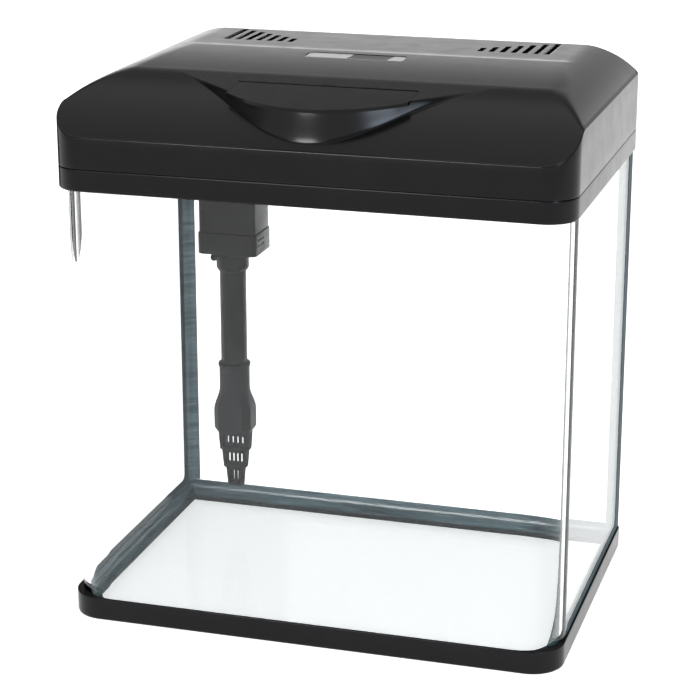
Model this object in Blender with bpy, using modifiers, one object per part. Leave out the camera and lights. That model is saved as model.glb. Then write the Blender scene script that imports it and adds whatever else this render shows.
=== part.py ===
"""Curved-glass aquarium with a lift-off filter hood, a hinged lid and a feeding flap.

Units are metres, +Z is up and the front faces -Y. The origin is the centre of the base's underside.
"""

import math

import bmesh
import bpy
from mathutils import Matrix, Vector

MM = 0.001

# Driving sizes of the whole object
WIDTH = 380 * MM
DEPTH = 260 * MM
SEAM_Z = 352.2 * MM

# Gaps
FIT = 0.3 * MM
GLASS_SLACK = 0.5 * MM
FLAP_SLACK = 0.4 * MM

# Base frame
BASE_HEIGHT = 17.2 * MM
BASE_LEDGE_Z = 3.0 * MM
BASE_LEDGE = 9.5 * MM
BASE_FRONT_RADIUS = 25 * MM
BASE_REAR_RADIUS = 5.5 * MM

# Glass tank
GLASS = 5 * MM
BEND_RADIUS = 33 * MM
GLASS_EDGE = 1.5 * MM
SEALANT_HEIGHT = 12 * MM
SEALANT_WIDTH = 8.5 * MM
CORNER_BEAD = 8 * MM

# Hood rim
RIM_PROUD = 0.8 * MM
RIM_WALL = 2.0 * MM
RIM_FRONT_RADIUS = 23 * MM
RIM_REAR_RADIUS = 6 * MM
RIM_SKIRT = 18.9 * MM
RIM_LEDGE_DROP = 7.2 * MM
RIM_LEDGE = 2 * MM
WINDOW_SIDE = 18 * MM
WINDOW_FRONT = 16 * MM
CROSSBAR = 8 * MM
CROSSBAR_TO_REAR = 80 * MM
REAR_LEDGE = 7 * MM

# Lid shell
LID_HEIGHT = 61 * MM
LID_WALL = 2.2 * MM
DECK_SLOPE = math.radians(2.0)
CREASE_TO_REAR = 85 * MM
FRONT_ARC_TO_FRONT = 89 * MM
FRONT_ARC_RADIUS = 135.5 * MM
SIDE_FALL = 49.8 * MM
SIDE_ARC_RADIUS = 70 * MM
HIP_ROUND = 3 * MM
VENTS_A_SIDE = 7
VENT_PITCH = 8.6 * MM
VENT_WIDTH = 4.4 * MM
VENT_TO_REAR = 53 * MM
VENT_SHORTEST = 16 * MM
VENT_GROWTH = 5.6 * MM
VENT_OUTERMOST = 63 * MM
CABLE_NOTCH_TO_SIDE = 48 * MM
CABLE_NOTCH_RADIUS = 6 * MM

# Raised visor that carries the feeding flap
VISOR_REACH = 5 * MM
VISOR_BOW = 6.6
VISOR_BOW_HALF = 60 * MM
VISOR_TO_FRONT = 80 * MM
VISOR_SINK = 0.05 * MM

# Feeding flap
FLAP_WIDTH = 133 * MM
FLAP_TO_FRONT = 62 * MM
FLAP_THICKNESS = 2.4 * MM
FLAP_LIP = 0.8 * MM
FLAP_BARREL_RADIUS = 2.2 * MM
FLAP_STUB_RADIUS = 0.9 * MM
FLAP_LEDGE = 3 * MM
FLAP_FRAME_DEPTH = 5.2 * MM
FLAP_STUB = 5.2 * MM

# Lid hinge
HINGE_RADIUS = 2.6 * MM
HINGE_PIN_RADIUS = 1.2 * MM
HINGE_X = 110 * MM
KNUCKLE = 20 * MM
EAR = 8 * MM
HINGE_RELIEF = 3.4 * MM
EAR_ROOM_RADIUS = 4.9 * MM

# Filter tray
TRAY_GAP = 2.8 * MM
TRAY_WALL = 2 * MM
TRAY_DROP = 29 * MM
TRAY_FLANGE = 6 * MM
TRAY_DIVIDER_TO_INTAKE = 31 * MM
COVER_THICKNESS = 1.7 * MM
SPONGE_HEIGHT = 18 * MM

# Pump and its intake
INTAKE_TO_SIDE = 63 * MM
INTAKE_TO_REAR = 49 * MM
PUMP_OFFSET = 1.5 * MM
PUMP_WIDTH = 48 * MM
PUMP_DEPTH = 38 * MM
PUMP_UPPER_HEIGHT = 55 * MM
PUMP_LOWER_HEIGHT = 17.5 * MM
PUMP_CORNER = 4 * MM
PUMP_CAP = 2.4 * MM
CHAMBER_RADIUS = 16 * MM
INLET_RADIUS = 8 * MM
WELL_RADIUS = 7.8 * MM
WELL_WALL = 1.5 * MM
WELL_HEIGHT = 34 * MM
POCKET_FLOOR = 4 * MM
OUTLET_RADIUS = 4.5 * MM
OUTLET_TO_INTAKE = 18.7 * MM
NOZZLE_WALL = 1.2 * MM
SHAFT_RADIUS = 1.0 * MM
MAGNET_GAP = 0.8 * MM
RING_HEIGHT = 3.9 * MM
RING_WALL = 4.4 * MM
TUBE_RADIUS = 10.8 * MM
TUBE_WALL = 2 * MM
TUBE_LENGTH = 107.7 * MM
COLLAR_HEIGHT = 12 * MM
COLLAR_WALL = 2.2 * MM
COLLAR_ROOF = 2 * MM
SLEEVE_LENGTH = 21 * MM
SLEEVE_WALL = 1.4 * MM
SLEEVE_OVERLAP = 19 * MM
ADAPTER_WIDTH = 32 * MM
ADAPTER_DEPTH = 21 * MM
ADAPTER_FLARE = 20 * MM
ADAPTER_BOX = 19.5 * MM
STRAINER_SEAT = 4 * MM
STRAINER_TIERS = (
    (13.9 * MM, 7.6 * MM, 19.5 * MM),
    (11.0 * MM, 6.2 * MM, 15.9 * MM),
    (7.8 * MM, 4.8 * MM, 16.0 * MM),
)
STRAINER_DRAFT = 1.3 * MM
STRAINER_WALL = 1.5 * MM
STRAINER_BARS = 4.2 * MM
STRAINER_SLOT = 1.6 * MM

# Light under the lid
LIGHT_LENGTH = 240 * MM
LIGHT_WIDTH = 28 * MM
LIGHT_HEIGHT = 10 * MM
LIGHT_Y = -5 * MM
LIGHT_DROP = 9.5 * MM
LIGHT_WALL = 2 * MM
LIGHT_EAR = 12 * MM
LAMPS = 12

# Badge
BADGE_WIDTH = 76 * MM
BADGE_DEPTH = 17 * MM
BADGE_X = -7 * MM
BADGE_TO_CREASE = 19.25 * MM
BADGE_THICKNESS = 1 * MM

# Sizes that follow
TOP_Z = SEAM_Z + LID_HEIGHT
RIM_LOW_Z = SEAM_Z - RIM_SKIRT
RIM_LEDGE_Z = SEAM_Z - RIM_LEDGE_DROP
CROSSBAR_Y = DEPTH / 2 - CROSSBAR_TO_REAR
CREASE_Y = DEPTH / 2 - CREASE_TO_REAR
FRONT_ARC_START_Y = FRONT_ARC_TO_FRONT - DEPTH / 2
VENT_START_Y = DEPTH / 2 - VENT_TO_REAR
CABLE_NOTCH_X = WIDTH / 2 - CABLE_NOTCH_TO_SIDE
VISOR_START_Y = VISOR_TO_FRONT - DEPTH / 2
FLAP_REAR_Y = FLAP_TO_FRONT - DEPTH / 2
LIGHT_TOP_Z = TOP_Z - LIGHT_DROP
BADGE_Y = CREASE_Y - BADGE_TO_CREASE
INTAKE_X = INTAKE_TO_SIDE - WIDTH / 2
INTAKE_Y = DEPTH / 2 - INTAKE_TO_REAR
PUMP_X = INTAKE_X + PUMP_OFFSET
OUTLET_X = INTAKE_X + OUTLET_TO_INTAKE
TRAY_DIVIDER_X = INTAKE_X + TRAY_DIVIDER_TO_INTAKE
TRAY_FLOOR_Z = RIM_LEDGE_Z - TRAY_DROP
PUMP_TOP_Z = TRAY_FLOOR_Z - PUMP_CAP - 2 * FIT
PUMP_SEAM_Z = PUMP_TOP_Z - PUMP_UPPER_HEIGHT
PUMP_LOW_Z = PUMP_SEAM_Z - PUMP_LOWER_HEIGHT
POCKET_Z = PUMP_SEAM_Z + POCKET_FLOOR
WELL_TOP_Z = PUMP_SEAM_Z + WELL_HEIGHT
MAGNET_RADIUS = WELL_RADIUS - MAGNET_GAP
COLLAR_TOP_Z = PUMP_LOW_Z - RING_HEIGHT - 2 * FIT
COLLAR_LOW_Z = COLLAR_TOP_Z - COLLAR_HEIGHT
COLLAR_RADIUS = TUBE_RADIUS + FIT + COLLAR_WALL
TUBE_TOP_Z = COLLAR_TOP_Z - COLLAR_ROOF - FIT
TUBE_LOW_Z = TUBE_TOP_Z - TUBE_LENGTH
SLEEVE_TOP_Z = TUBE_LOW_Z + SLEEVE_OVERLAP
SLEEVE_RADIUS = TUBE_RADIUS + FIT + SLEEVE_WALL
ADAPTER_SHOULDER_Z = SLEEVE_TOP_Z - SLEEVE_LENGTH
ADAPTER_BOX_Z = ADAPTER_SHOULDER_Z - ADAPTER_FLARE
ADAPTER_LOW_Z = ADAPTER_BOX_Z - ADAPTER_BOX
RIM_HALF_X = WIDTH / 2 + RIM_PROUD
RIM_HALF_Y = DEPTH / 2 + RIM_PROUD / 2.5
GLASS_HALF_X = RIM_HALF_X - RIM_WALL - GLASS_SLACK
GLASS_HALF_Y = RIM_HALF_Y - RIM_WALL - GLASS_SLACK
GLASS_LOW_Z = BASE_LEDGE_Z + FIT
GLASS_TOP_Z = RIM_LEDGE_Z - FIT
FLOOR_Z = GLASS_LOW_Z + GLASS
REAR_INNER_Y = GLASS_HALF_Y - GLASS
LID_LOW_Z = SEAM_Z + FIT
HINGE_Y = RIM_HALF_Y - HINGE_RADIUS
HINGE_Z = SEAM_Z + FIT / 2
FLANGE_Z = RIM_LEDGE_Z + RIM_LEDGE + FIT
TRAY_FRONT_Y = CROSSBAR_Y + CROSSBAR + 2 * MM
TRAY_REAR_Y = RIM_HALF_Y - RIM_WALL - REAR_LEDGE - 1 * MM
TRAY_HALF = RIM_HALF_X - RIM_WALL - WINDOW_SIDE - TRAY_GAP
VISOR_FRONT_Y = -(RIM_HALF_Y - VISOR_REACH)

PARTS = "aquarium"
CUTTERS = "aquarium_cutters"


# ---------------------------------------------------------------- finishes

def finish(name, color, roughness, metallic=0.0, transmission=0.0):
    """A plain Principled material, made once."""
    material = bpy.data.materials.get(name)
    if material:
        return material
    material = bpy.data.materials.new(name)
    material.use_nodes = True
    shader = material.node_tree.nodes["Principled BSDF"]
    shader.inputs["Base Color"].default_value = (*color, 1.0)
    shader.inputs["Roughness"].default_value = roughness
    shader.inputs["Metallic"].default_value = metallic
    shader.inputs["Transmission Weight"].default_value = transmission
    return material


def black_plastic():
    return finish("black_plastic", (0.02, 0.02, 0.022), 0.35)


def grey_plastic():
    return finish("grey_plastic", (0.06, 0.062, 0.065), 0.45)


def clear_glass():
    return finish("clear_glass", (0.9, 0.97, 0.95), 0.02, transmission=1.0)


def sealant():
    return finish("sealant", (0.16, 0.2, 0.21), 0.4)


def bright_steel():
    return finish("bright_steel", (0.6, 0.6, 0.6), 0.3, metallic=1.0)


def ceramic_white():
    return finish("ceramic_white", (0.85, 0.84, 0.8), 0.3)


def magnet_black():
    return finish("magnet_black", (0.03, 0.03, 0.03), 0.5)


def stator_iron():
    return finish("stator_iron", (0.3, 0.3, 0.32), 0.4, metallic=1.0)


def blue_sponge():
    return finish("blue_sponge", (0.1, 0.2, 0.35), 0.95)


def board_white():
    return finish("board_white", (0.85, 0.86, 0.85), 0.5)


def lens_clear():
    return finish("lens_clear", (0.95, 0.95, 0.95), 0.2, transmission=0.8)


def soft_rubber():
    return finish("soft_rubber", (0.04, 0.04, 0.04), 0.7)


def badge_silver():
    return finish("badge_silver", (0.7, 0.7, 0.72), 0.25, metallic=0.8)


# ---------------------------------------------------------------- modelling tools

def clear_scene():
    for obj in list(bpy.data.objects):
        bpy.data.objects.remove(obj)


def collection(name):
    found = bpy.data.collections.get(name)
    if not found:
        found = bpy.data.collections.new(name)
        bpy.context.scene.collection.children.link(found)
    return found


def link(name, data, material):
    """A new object in the part's collection."""
    obj = bpy.data.objects.new(name, data)
    obj.data.materials.append(material)
    collection(PARTS).objects.link(obj)
    return obj


def mesh_object(name, shape, material):
    """A new object from a finished bmesh."""
    mesh = bpy.data.meshes.new(name)
    bmesh.ops.recalc_face_normals(shape, faces=shape.faces)
    shape.to_mesh(mesh)
    shape.free()
    return link(name, mesh, material)


def smooth(obj, angle=35):
    """Smooth shading with the corners kept sharp."""
    obj.data.shade_smooth()
    obj.data.set_sharp_from_angle(angle=math.radians(angle))
    return obj


def boolean(target, tool, operation="DIFFERENCE"):
    """Cuts or joins tool, which becomes a hidden cutter."""
    step = target.modifiers.new(tool.name, "BOOLEAN")
    step.operation = operation
    step.object = tool
    tool.hide_render = True
    tool.display_type = "WIRE"
    collection(PARTS).objects.unlink(tool)
    collection(CUTTERS).objects.link(tool)
    return target


def cut(target, *tools):
    for tool in tools:
        boolean(target, tool)
    return target


def add(target, *tools):
    for tool in tools:
        boolean(target, tool, "UNION")
    return target


def bevel(obj, width, segments=2):
    step = obj.modifiers.new("edge", "BEVEL")
    step.width = width
    step.segments = segments
    step.limit_method = "ANGLE"
    step.angle_limit = math.radians(50)
    return obj


def box(name, low, high, material=None):
    """A block between two corners."""
    shape = bmesh.new()
    size = [b - a for a, b in zip(low, high)]
    centre = [(a + b) / 2 for a, b in zip(low, high)]
    bmesh.ops.create_cube(shape, size=1.0, matrix=Matrix.Translation(centre) @ Matrix.Diagonal((*size, 1.0)))
    return mesh_object(name, shape, material or black_plastic())


def boxes(name, corners, material=None):
    """Several blocks that don't meet, for one cutter."""
    shape = bmesh.new()
    for low, high in corners:
        size = [b - a for a, b in zip(low, high)]
        centre = [(a + b) / 2 for a, b in zip(low, high)]
        place = Matrix.Translation(centre) @ Matrix.Diagonal((*size, 1.0))
        bmesh.ops.create_cube(shape, size=1.0, matrix=place)
    return mesh_object(name, shape, material or black_plastic())


def rod(name, radius, start, end, material=None, segments=24):
    """A round bar between two points."""
    start, end = Vector(start), Vector(end)
    turn = (end - start).to_track_quat("Z", "Y").to_matrix().to_4x4()
    shape = bmesh.new()
    bmesh.ops.create_cone(shape, cap_ends=True, segments=segments, radius1=radius, radius2=radius,
                          depth=(end - start).length, matrix=Matrix.Translation((start + end) / 2) @ turn)
    return smooth(mesh_object(name, shape, material or black_plastic()))


def turned(name, profile, place, material=None, steps=32):
    """A solid turned about a vertical axis from (radius, z) points that run from top to bottom."""
    mesh = bpy.data.meshes.new(name)
    points = [(radius, 0.0, z) for radius, z in profile]
    mesh.from_pydata(points, [(i, i + 1) for i in range(len(points) - 1)], [])
    obj = link(name, mesh, material or black_plastic())
    obj.location = (place[0], place[1], 0.0)
    step = obj.modifiers.new("turn", "SCREW")
    step.steps = steps
    step.render_steps = steps
    step.use_merge_vertices = True
    step.merge_threshold = 0.00001
    return obj


def plate(name, outlines, low, high, material=None):
    """A flat outline with holes, from z low to z high."""
    curve = bpy.data.curves.new(name, "CURVE")
    curve.dimensions = "2D"
    curve.fill_mode = "BOTH"
    curve.extrude = (high - low) / 2
    for outline in outlines:
        spline = curve.splines.new("POLY")
        spline.points.add(len(outline) - 1)
        for point, (x, y) in zip(spline.points, outline):
            point.co = (x, y, 0.0, 1.0)
        spline.use_cyclic_u = True
    guide = bpy.data.objects.new(name, curve)
    bpy.context.scene.collection.objects.link(guide)
    guide.location.z = (low + high) / 2
    bpy.context.view_layer.update()
    graph = bpy.context.evaluated_depsgraph_get()
    mesh = bpy.data.meshes.new_from_object(guide.evaluated_get(graph))
    mesh.transform(guide.matrix_world)
    bpy.data.objects.remove(guide)
    shape = bmesh.new()
    shape.from_mesh(mesh)
    bmesh.ops.remove_doubles(shape, verts=shape.verts, dist=0.00001)
    bpy.data.meshes.remove(mesh)
    return smooth(mesh_object(name, shape, material or black_plastic()))


def circle(radius, place, segments=32):
    turns = [2 * math.pi * i / segments for i in range(segments)]
    return [(place[0] + radius * math.cos(a), place[1] + radius * math.sin(a)) for a in turns]


def loft(name, rings, material=None, closed=False):
    """Skins rings of equal length; its ends are capped, or joined when closed."""
    shape = bmesh.new()
    rows = [[shape.verts.new(point) for point in ring] for ring in rings]
    pairs = list(zip(rows, rows[1:]))
    if closed:
        pairs.append((rows[-1], rows[0]))
    for lower, upper in pairs:
        for i in range(len(lower)):
            j = (i + 1) % len(lower)
            shape.faces.new((lower[i], lower[j], upper[j], upper[i]))
    if not closed:
        shape.faces.new(rows[0])
        shape.faces.new(rows[-1])
    return smooth(mesh_object(name, shape, material or black_plastic()))


def rounded(half_x, half_y, front_radius, rear_radius, steps=8, straights=1):
    """Outline of a rectangle about the origin with front and rear corner radii, from the rear right."""
    corners = [(half_x, half_y, rear_radius, 0), (-half_x, half_y, rear_radius, 90),
               (-half_x, -half_y, front_radius, 180), (half_x, -half_y, front_radius, 270)]
    arcs = []
    for x, y, radius, start in corners:
        cx = x - math.copysign(radius, x)
        cy = y - math.copysign(radius, y)
        angles = [math.radians(start + 90 * i / steps) for i in range(steps + 1)]
        arcs.append([(cx + radius * math.cos(a), cy + radius * math.sin(a)) for a in angles])
    points = []
    for arc, following in zip(arcs, arcs[1:] + arcs[:1]):
        points.extend(arc)
        (x0, y0), (x1, y1) = arc[-1], following[0]
        shares = [i / straights for i in range(1, straights)]
        points.extend((x0 + (x1 - x0) * s, y0 + (y1 - y0) * s) for s in shares)
    return points


def inset_outline(half_x, half_y, front_radius, rear_radius, inset, **detail):
    """The rounded outline moved inwards; a corner that runs out of radius stays nearly sharp."""
    least = 0.2 * MM
    return rounded(half_x - inset, half_y - inset, max(front_radius - inset, least),
                   max(rear_radius - inset, least), **detail)


# ---------------------------------------------------------------- tank

def glass_outline(inset, **detail):
    """Outside of the glass walls, or a line inside it; the rear corners are nearly square."""
    return inset_outline(GLASS_HALF_X, GLASS_HALF_Y, BEND_RADIUS, GLASS_EDGE, inset, **detail)


def make_base_frame():
    frame = plate("base_frame", [rounded(WIDTH / 2, DEPTH / 2, BASE_FRONT_RADIUS, BASE_REAR_RADIUS)],
                  0.0, BASE_HEIGHT)
    bevel(frame, 0.8 * MM)
    recess = plate("base_recess", [glass_outline(-FIT)], BASE_LEDGE_Z, BASE_HEIGHT + 5 * MM)
    window = plate("base_window", [glass_outline(BASE_LEDGE)], -5 * MM, BASE_HEIGHT)
    cut(frame, recess, window)


def make_floor_glass():
    plate("floor_glass", [glass_outline(GLASS + FIT)], GLASS_LOW_Z, FLOOR_Z, clear_glass())


def bent_path(inset, edge=0.0):
    """Right side, rounded front and left side of the bent pane, at some depth in the glass."""
    radius = BEND_RADIUS - inset
    half_x = GLASS_HALF_X - inset
    front = -GLASS_HALF_Y + inset
    points = [(half_x, GLASS_HALF_Y - edge)]
    for side, start in ((1, 0), (-1, -90)):
        centre = (side * (half_x - radius), front + radius)
        for i in range(11):
            angle = math.radians(start - 90 * i / 10)
            points.append((centre[0] + radius * math.cos(angle), centre[1] + radius * math.sin(angle)))
    points.append((-half_x, GLASS_HALF_Y - edge))
    return points


def make_bent_glass():
    bevelled = (GLASS_HALF_X - GLASS_EDGE, GLASS_HALF_Y)
    outer = [bevelled, *bent_path(0.0, GLASS_EDGE), (-bevelled[0], bevelled[1])]
    outline = outer + bent_path(GLASS)[::-1]
    plate("bent_glass", [outline], GLASS_LOW_Z, GLASS_TOP_Z, clear_glass())


def make_rear_glass():
    half = GLASS_HALF_X - GLASS - FIT
    box("rear_glass", (-half, REAR_INNER_Y, GLASS_LOW_Z), (half, GLASS_HALF_Y, GLASS_TOP_Z), clear_glass())


def hollow_section(width, height, steps=4):
    """Corner, foot, concave face and top of a sealant bead, as (inset, rise)."""
    section = [(0.0, 0.0)]
    for i in range(steps + 1):
        angle = math.radians(90 * i / steps)
        section.append((width * (1 - math.sin(angle)), height * (1 - math.cos(angle))))
    return section


def make_floor_sealant():
    rings = []
    for inset, rise in hollow_section(SEALANT_WIDTH, SEALANT_HEIGHT):
        line = glass_outline(GLASS + FIT + inset, steps=5)
        rings.append([(x, y, FLOOR_Z + FIT + rise) for x, y in line])
    loft("floor_sealant", rings, sealant(), closed=True)


def make_corner_sealant(name, side):
    corner = (side * (GLASS_HALF_X - GLASS - FIT), REAR_INNER_Y - FIT)
    outline = [(corner[0] - side * a, corner[1] - b) for a, b in hollow_section(CORNER_BEAD, CORNER_BEAD)]
    low = FLOOR_Z + 2 * FIT + SEALANT_HEIGHT
    plate(name, [outline], low, RIM_LOW_Z - 3 * MM, sealant())


# ---------------------------------------------------------------- hood rim

def rim_outline(inset, **detail):
    return inset_outline(RIM_HALF_X, RIM_HALF_Y, RIM_FRONT_RADIUS, RIM_REAR_RADIUS, inset, **detail)


def hinge_stations():
    """Each hinge's centre and the starts of its two ears, along X."""
    for side in (-1, 1):
        centre = side * HINGE_X
        ears = (centre - KNUCKLE / 2 - FIT - EAR, centre + KNUCKLE / 2 + FIT)
        yield side, centre, ears


def make_hood_rim():
    rim = plate("hood_rim", [rim_outline(0.0)], RIM_LOW_Z, SEAM_Z)
    bevel(rim, 0.7 * MM)
    room = rounded(RIM_HALF_X - RIM_WALL, RIM_HALF_Y - RIM_WALL, RIM_FRONT_RADIUS - RIM_WALL, GLASS_EDGE)
    skirt = plate("rim_skirt_room", [room], RIM_LOW_Z - 5 * MM, RIM_LEDGE_Z)
    head = plate("rim_head_room", [rim_outline(RIM_WALL)], RIM_LEDGE_Z + RIM_LEDGE, SEAM_Z + 5 * MM)
    half = RIM_HALF_X - RIM_WALL - WINDOW_SIDE
    front_y = -RIM_HALF_Y + RIM_WALL + WINDOW_FRONT
    rear_y = RIM_HALF_Y - RIM_WALL - REAR_LEDGE
    low, high = RIM_LEDGE_Z - 5 * MM, SEAM_Z
    windows = boxes("rim_windows", [((-half, front_y, low), (half, CROSSBAR_Y, high)),
                                    ((-half, CROSSBAR_Y + CROSSBAR, low), (half, rear_y, high))])
    relief = box("hinge_relief", (-WIDTH, HINGE_Y - HINGE_RADIUS - 0.5 * MM, SEAM_Z - HINGE_RELIEF),
                 (WIDTH, DEPTH, SEAM_Z + 5 * MM))
    cut(rim, skirt, head, windows, relief)
    for side, centre, ears in hinge_stations():
        for number, start in enumerate(ears):
            label = f"rim_ear_{side}_{number}"
            add(rim, box(label, (start, HINGE_Y - HINGE_RADIUS, RIM_LEDGE_Z + 0.5 * MM),
                         (start + EAR, HINGE_Y + HINGE_RADIUS, HINGE_Z)))
            add(rim, rod(label + "_top", HINGE_RADIUS, (start, HINGE_Y, HINGE_Z),
                         (start + EAR, HINGE_Y, HINGE_Z)))
        reach = KNUCKLE / 2 + EAR
        cut(rim, rod(f"rim_pin_hole_{side}", HINGE_PIN_RADIUS + FIT, (centre - reach, HINGE_Y, HINGE_Z),
                     (centre + reach, HINGE_Y, HINGE_Z), segments=16))


def make_hinge_pin(name, centre):
    reach = KNUCKLE / 2 + EAR - 2 * FIT
    rod(name, HINGE_PIN_RADIUS, (centre - reach, HINGE_Y, HINGE_Z), (centre + reach, HINGE_Y, HINGE_Z),
        bright_steel(), segments=16)


# ---------------------------------------------------------------- lid

def front_height(y):
    """Height of the lid's front face: a flat rear, a shallow deck and an arc that falls to the front edge."""
    deck_z = TOP_Z - math.tan(DECK_SLOPE) * (CREASE_Y - y)
    if y >= CREASE_Y:
        return TOP_Z
    if y >= FRONT_ARC_START_Y:
        return deck_z
    start_z = TOP_Z - math.tan(DECK_SLOPE) * (CREASE_Y - FRONT_ARC_START_Y)
    centre_y = FRONT_ARC_START_Y + FRONT_ARC_RADIUS * math.sin(DECK_SLOPE)
    centre_z = start_z - FRONT_ARC_RADIUS * math.cos(DECK_SLOPE)
    return centre_z + math.sqrt(FRONT_ARC_RADIUS ** 2 - (y - centre_y) ** 2)


def side_height(x):
    """Height of the lid's side face: flat, then an arc down to the wall."""
    run = max(0.0, abs(x) - (RIM_HALF_X - SIDE_FALL))
    return TOP_Z - SIDE_ARC_RADIUS + math.sqrt(SIDE_ARC_RADIUS ** 2 - run ** 2)


def lid_height(x, y):
    """The lower of the front and side faces, with their meeting rounded."""
    front_drop = TOP_Z - front_height(y)
    side_drop = TOP_Z - side_height(x)
    blend = min(HIP_ROUND, (front_drop + side_drop) / 2)
    if blend < 0.001 * MM:
        return TOP_Z - max(front_drop, side_drop)
    overlap = max(0.0, 1 - abs(front_drop - side_drop) / blend)
    return TOP_Z - max(front_drop, side_drop) - blend * overlap ** 2 / 4


def lid_stations(inset):
    """Cross-sections from front to rear as (y, half width): round corners, even steps and the crease."""
    half_x, half_y = RIM_HALF_X - inset, RIM_HALF_Y - inset
    front, rear = RIM_FRONT_RADIUS - inset, RIM_REAR_RADIUS - inset
    quarter = [math.radians(90 * i / 6) for i in range(7)]
    stations = [(-half_y + front * (1 - math.cos(a)), half_x - front * (1 - math.sin(a))) for a in quarter]
    start, end = stations[-1][0], half_y - rear
    steps = 14
    stations += [(start + (CREASE_Y - start) * i / steps, half_x) for i in range(1, steps + 1)]
    steps = 4
    stations += [(CREASE_Y + (end - CREASE_Y) * i / steps, half_x) for i in range(1, steps)]
    stations += [(half_y - rear * (1 - math.cos(a)), half_x - rear * (1 - math.sin(a)))
                 for a in quarter[::-2]]
    return stations


def lid_shares():
    """Places across the lid as shares of the half width, closer together on the curved side."""
    flat = 1 - SIDE_FALL / RIM_HALF_X
    turn = math.asin(SIDE_FALL / SIDE_ARC_RADIUS)
    right = [flat * i / 5 for i in range(1, 6)]
    right += [flat + SIDE_ARC_RADIUS * math.sin(turn * i / 7) / RIM_HALF_X for i in range(1, 8)]
    return [-share for share in right[::-1]] + [0.0] + right


def lid_loft(name, inset, drop, low_z):
    """The closed form of the lid's outside, or of the room inside it."""
    sections = []
    for y, half in lid_stations(inset):
        top = [(half * share, y, lid_height(half * share, y) - drop) for share in lid_shares()]
        sections.append([(-half, y, low_z), *top, (half, y, low_z)])
    return loft(name, sections)


def visor_front(x):
    """Front edge of the visor in plan: a bow at the middle with straight tails."""
    bow = min(abs(x), VISOR_BOW_HALF)
    tail = abs(x) - bow
    return VISOR_FRONT_Y + VISOR_BOW * bow ** 2 + 2 * VISOR_BOW * VISOR_BOW_HALF * tail


def visor_half():
    """Where the visor's tails reach its rear line."""
    bow_y = visor_front(VISOR_BOW_HALF)
    return VISOR_BOW_HALF + (VISOR_START_Y - bow_y) / (2 * VISOR_BOW * VISOR_BOW_HALF)


def visor_slope():
    """The visor's top leaves the front arc along its tangent."""
    centre_y = FRONT_ARC_START_Y + FRONT_ARC_RADIUS * math.sin(DECK_SLOPE)
    return math.asin((centre_y - VISOR_START_Y) / FRONT_ARC_RADIUS)


def visor_height(y):
    return front_height(VISOR_START_Y) + math.tan(visor_slope()) * (y - VISOR_START_Y) - VISOR_SINK


def visor_line(half, inset, count=24):
    """Points along the visor's front edge from right to left, moved back by an inset."""
    return [(half - 2 * half * i / count, visor_front(half - 2 * half * i / count) + inset)
            for i in range(count + 1)]


def sloped_plate(name, outline, top_drop, bottom_drop, material=None):
    """A plate that lies along the visor's slope, between two depths under its top."""
    rings = []
    for drop in (bottom_drop, top_drop):
        rings.append([(x, y, visor_height(y) - drop) for x, y in outline])
    return loft(name, rings, material)


def visor_block(name, inset, drop, low_z):
    half = visor_half()
    outline = visor_line(half, inset) + [(-half, VISOR_START_Y + inset + 2 * MM),
                                         (half, VISOR_START_Y + inset + 2 * MM)]
    top = [(x, y, visor_height(y) - drop) for x, y in outline]
    bottom = [(x, y, low_z) for x, y in outline]
    return loft(name, [bottom, top])


def flap_outline(grow_side, grow_rear, front_inset):
    """The feeding flap's outline in plan, grown or shrunk."""
    half = FLAP_WIDTH / 2 + grow_side
    rear = FLAP_REAR_Y + grow_rear
    return visor_line(half, front_inset, 20) + [(-half, rear), (half, rear)]


def flap_axis():
    """The flap hinge's Y and Z."""
    y = FLAP_REAR_Y - FLAP_BARREL_RADIUS
    return y, visor_height(y) - FLAP_BARREL_RADIUS / math.cos(visor_slope())


def make_lid_shell():
    lid = lid_loft("lid_shell", 0.0, 0.0, LID_LOW_Z)
    add(lid, visor_block("visor", 0.0, 0.0, LID_LOW_Z + 15 * MM))
    cut(lid, lid_loft("lid_room", LID_WALL, LID_WALL, LID_LOW_Z - 5 * MM))
    cut(lid, visor_block("visor_room", LID_WALL, LID_WALL + 0.4 * MM, LID_LOW_Z + 10 * MM))
    add_flap_frame(lid)
    add_lid_hinges(lid)
    add_light_bosses(lid)
    cut(lid, rod("cable_notch", CABLE_NOTCH_RADIUS, (CABLE_NOTCH_X, RIM_HALF_Y - 8 * MM, SEAM_Z),
                 (CABLE_NOTCH_X, RIM_HALF_Y + 8 * MM, SEAM_Z)))
    cut(lid, boxes("vents", vent_boxes()))
    cut(lid, make_badge_seat())


def add_flap_frame(lid):
    """The sunk ledge that the flap lies on, its opening and the holes for the flap's stubs."""
    add(lid, sloped_plate("flap_frame", flap_outline(FLAP_LEDGE, FLAP_LEDGE, LID_WALL / 2),
                          1 * MM, FLAP_FRAME_DEPTH))
    cut(lid, sloped_plate("flap_seat", flap_outline(FLAP_SLACK, FLAP_SLACK, -4 * MM),
                          -5 * MM, FLAP_THICKNESS + FIT))
    cut(lid, sloped_plate("flap_opening", flap_outline(-FLAP_LEDGE, FLAP_SLACK, LID_WALL + FLAP_LEDGE / 2),
                          -5 * MM, 4 * FLAP_FRAME_DEPTH))
    y, z = flap_axis()
    room = FLAP_BARREL_RADIUS + FLAP_SLACK
    half = FLAP_WIDTH / 2
    cut(lid, box("flap_barrel_room", (-half - FLAP_SLACK, y - room, z - 4 * room),
                 (half + FLAP_SLACK, y + room, z + room)))
    reach = half + FLAP_SLACK + 2 * MM
    cut(lid, rod("flap_stub_holes", FLAP_STUB_RADIUS + FIT, (-reach, y, z), (reach, y, z), segments=12))


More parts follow.
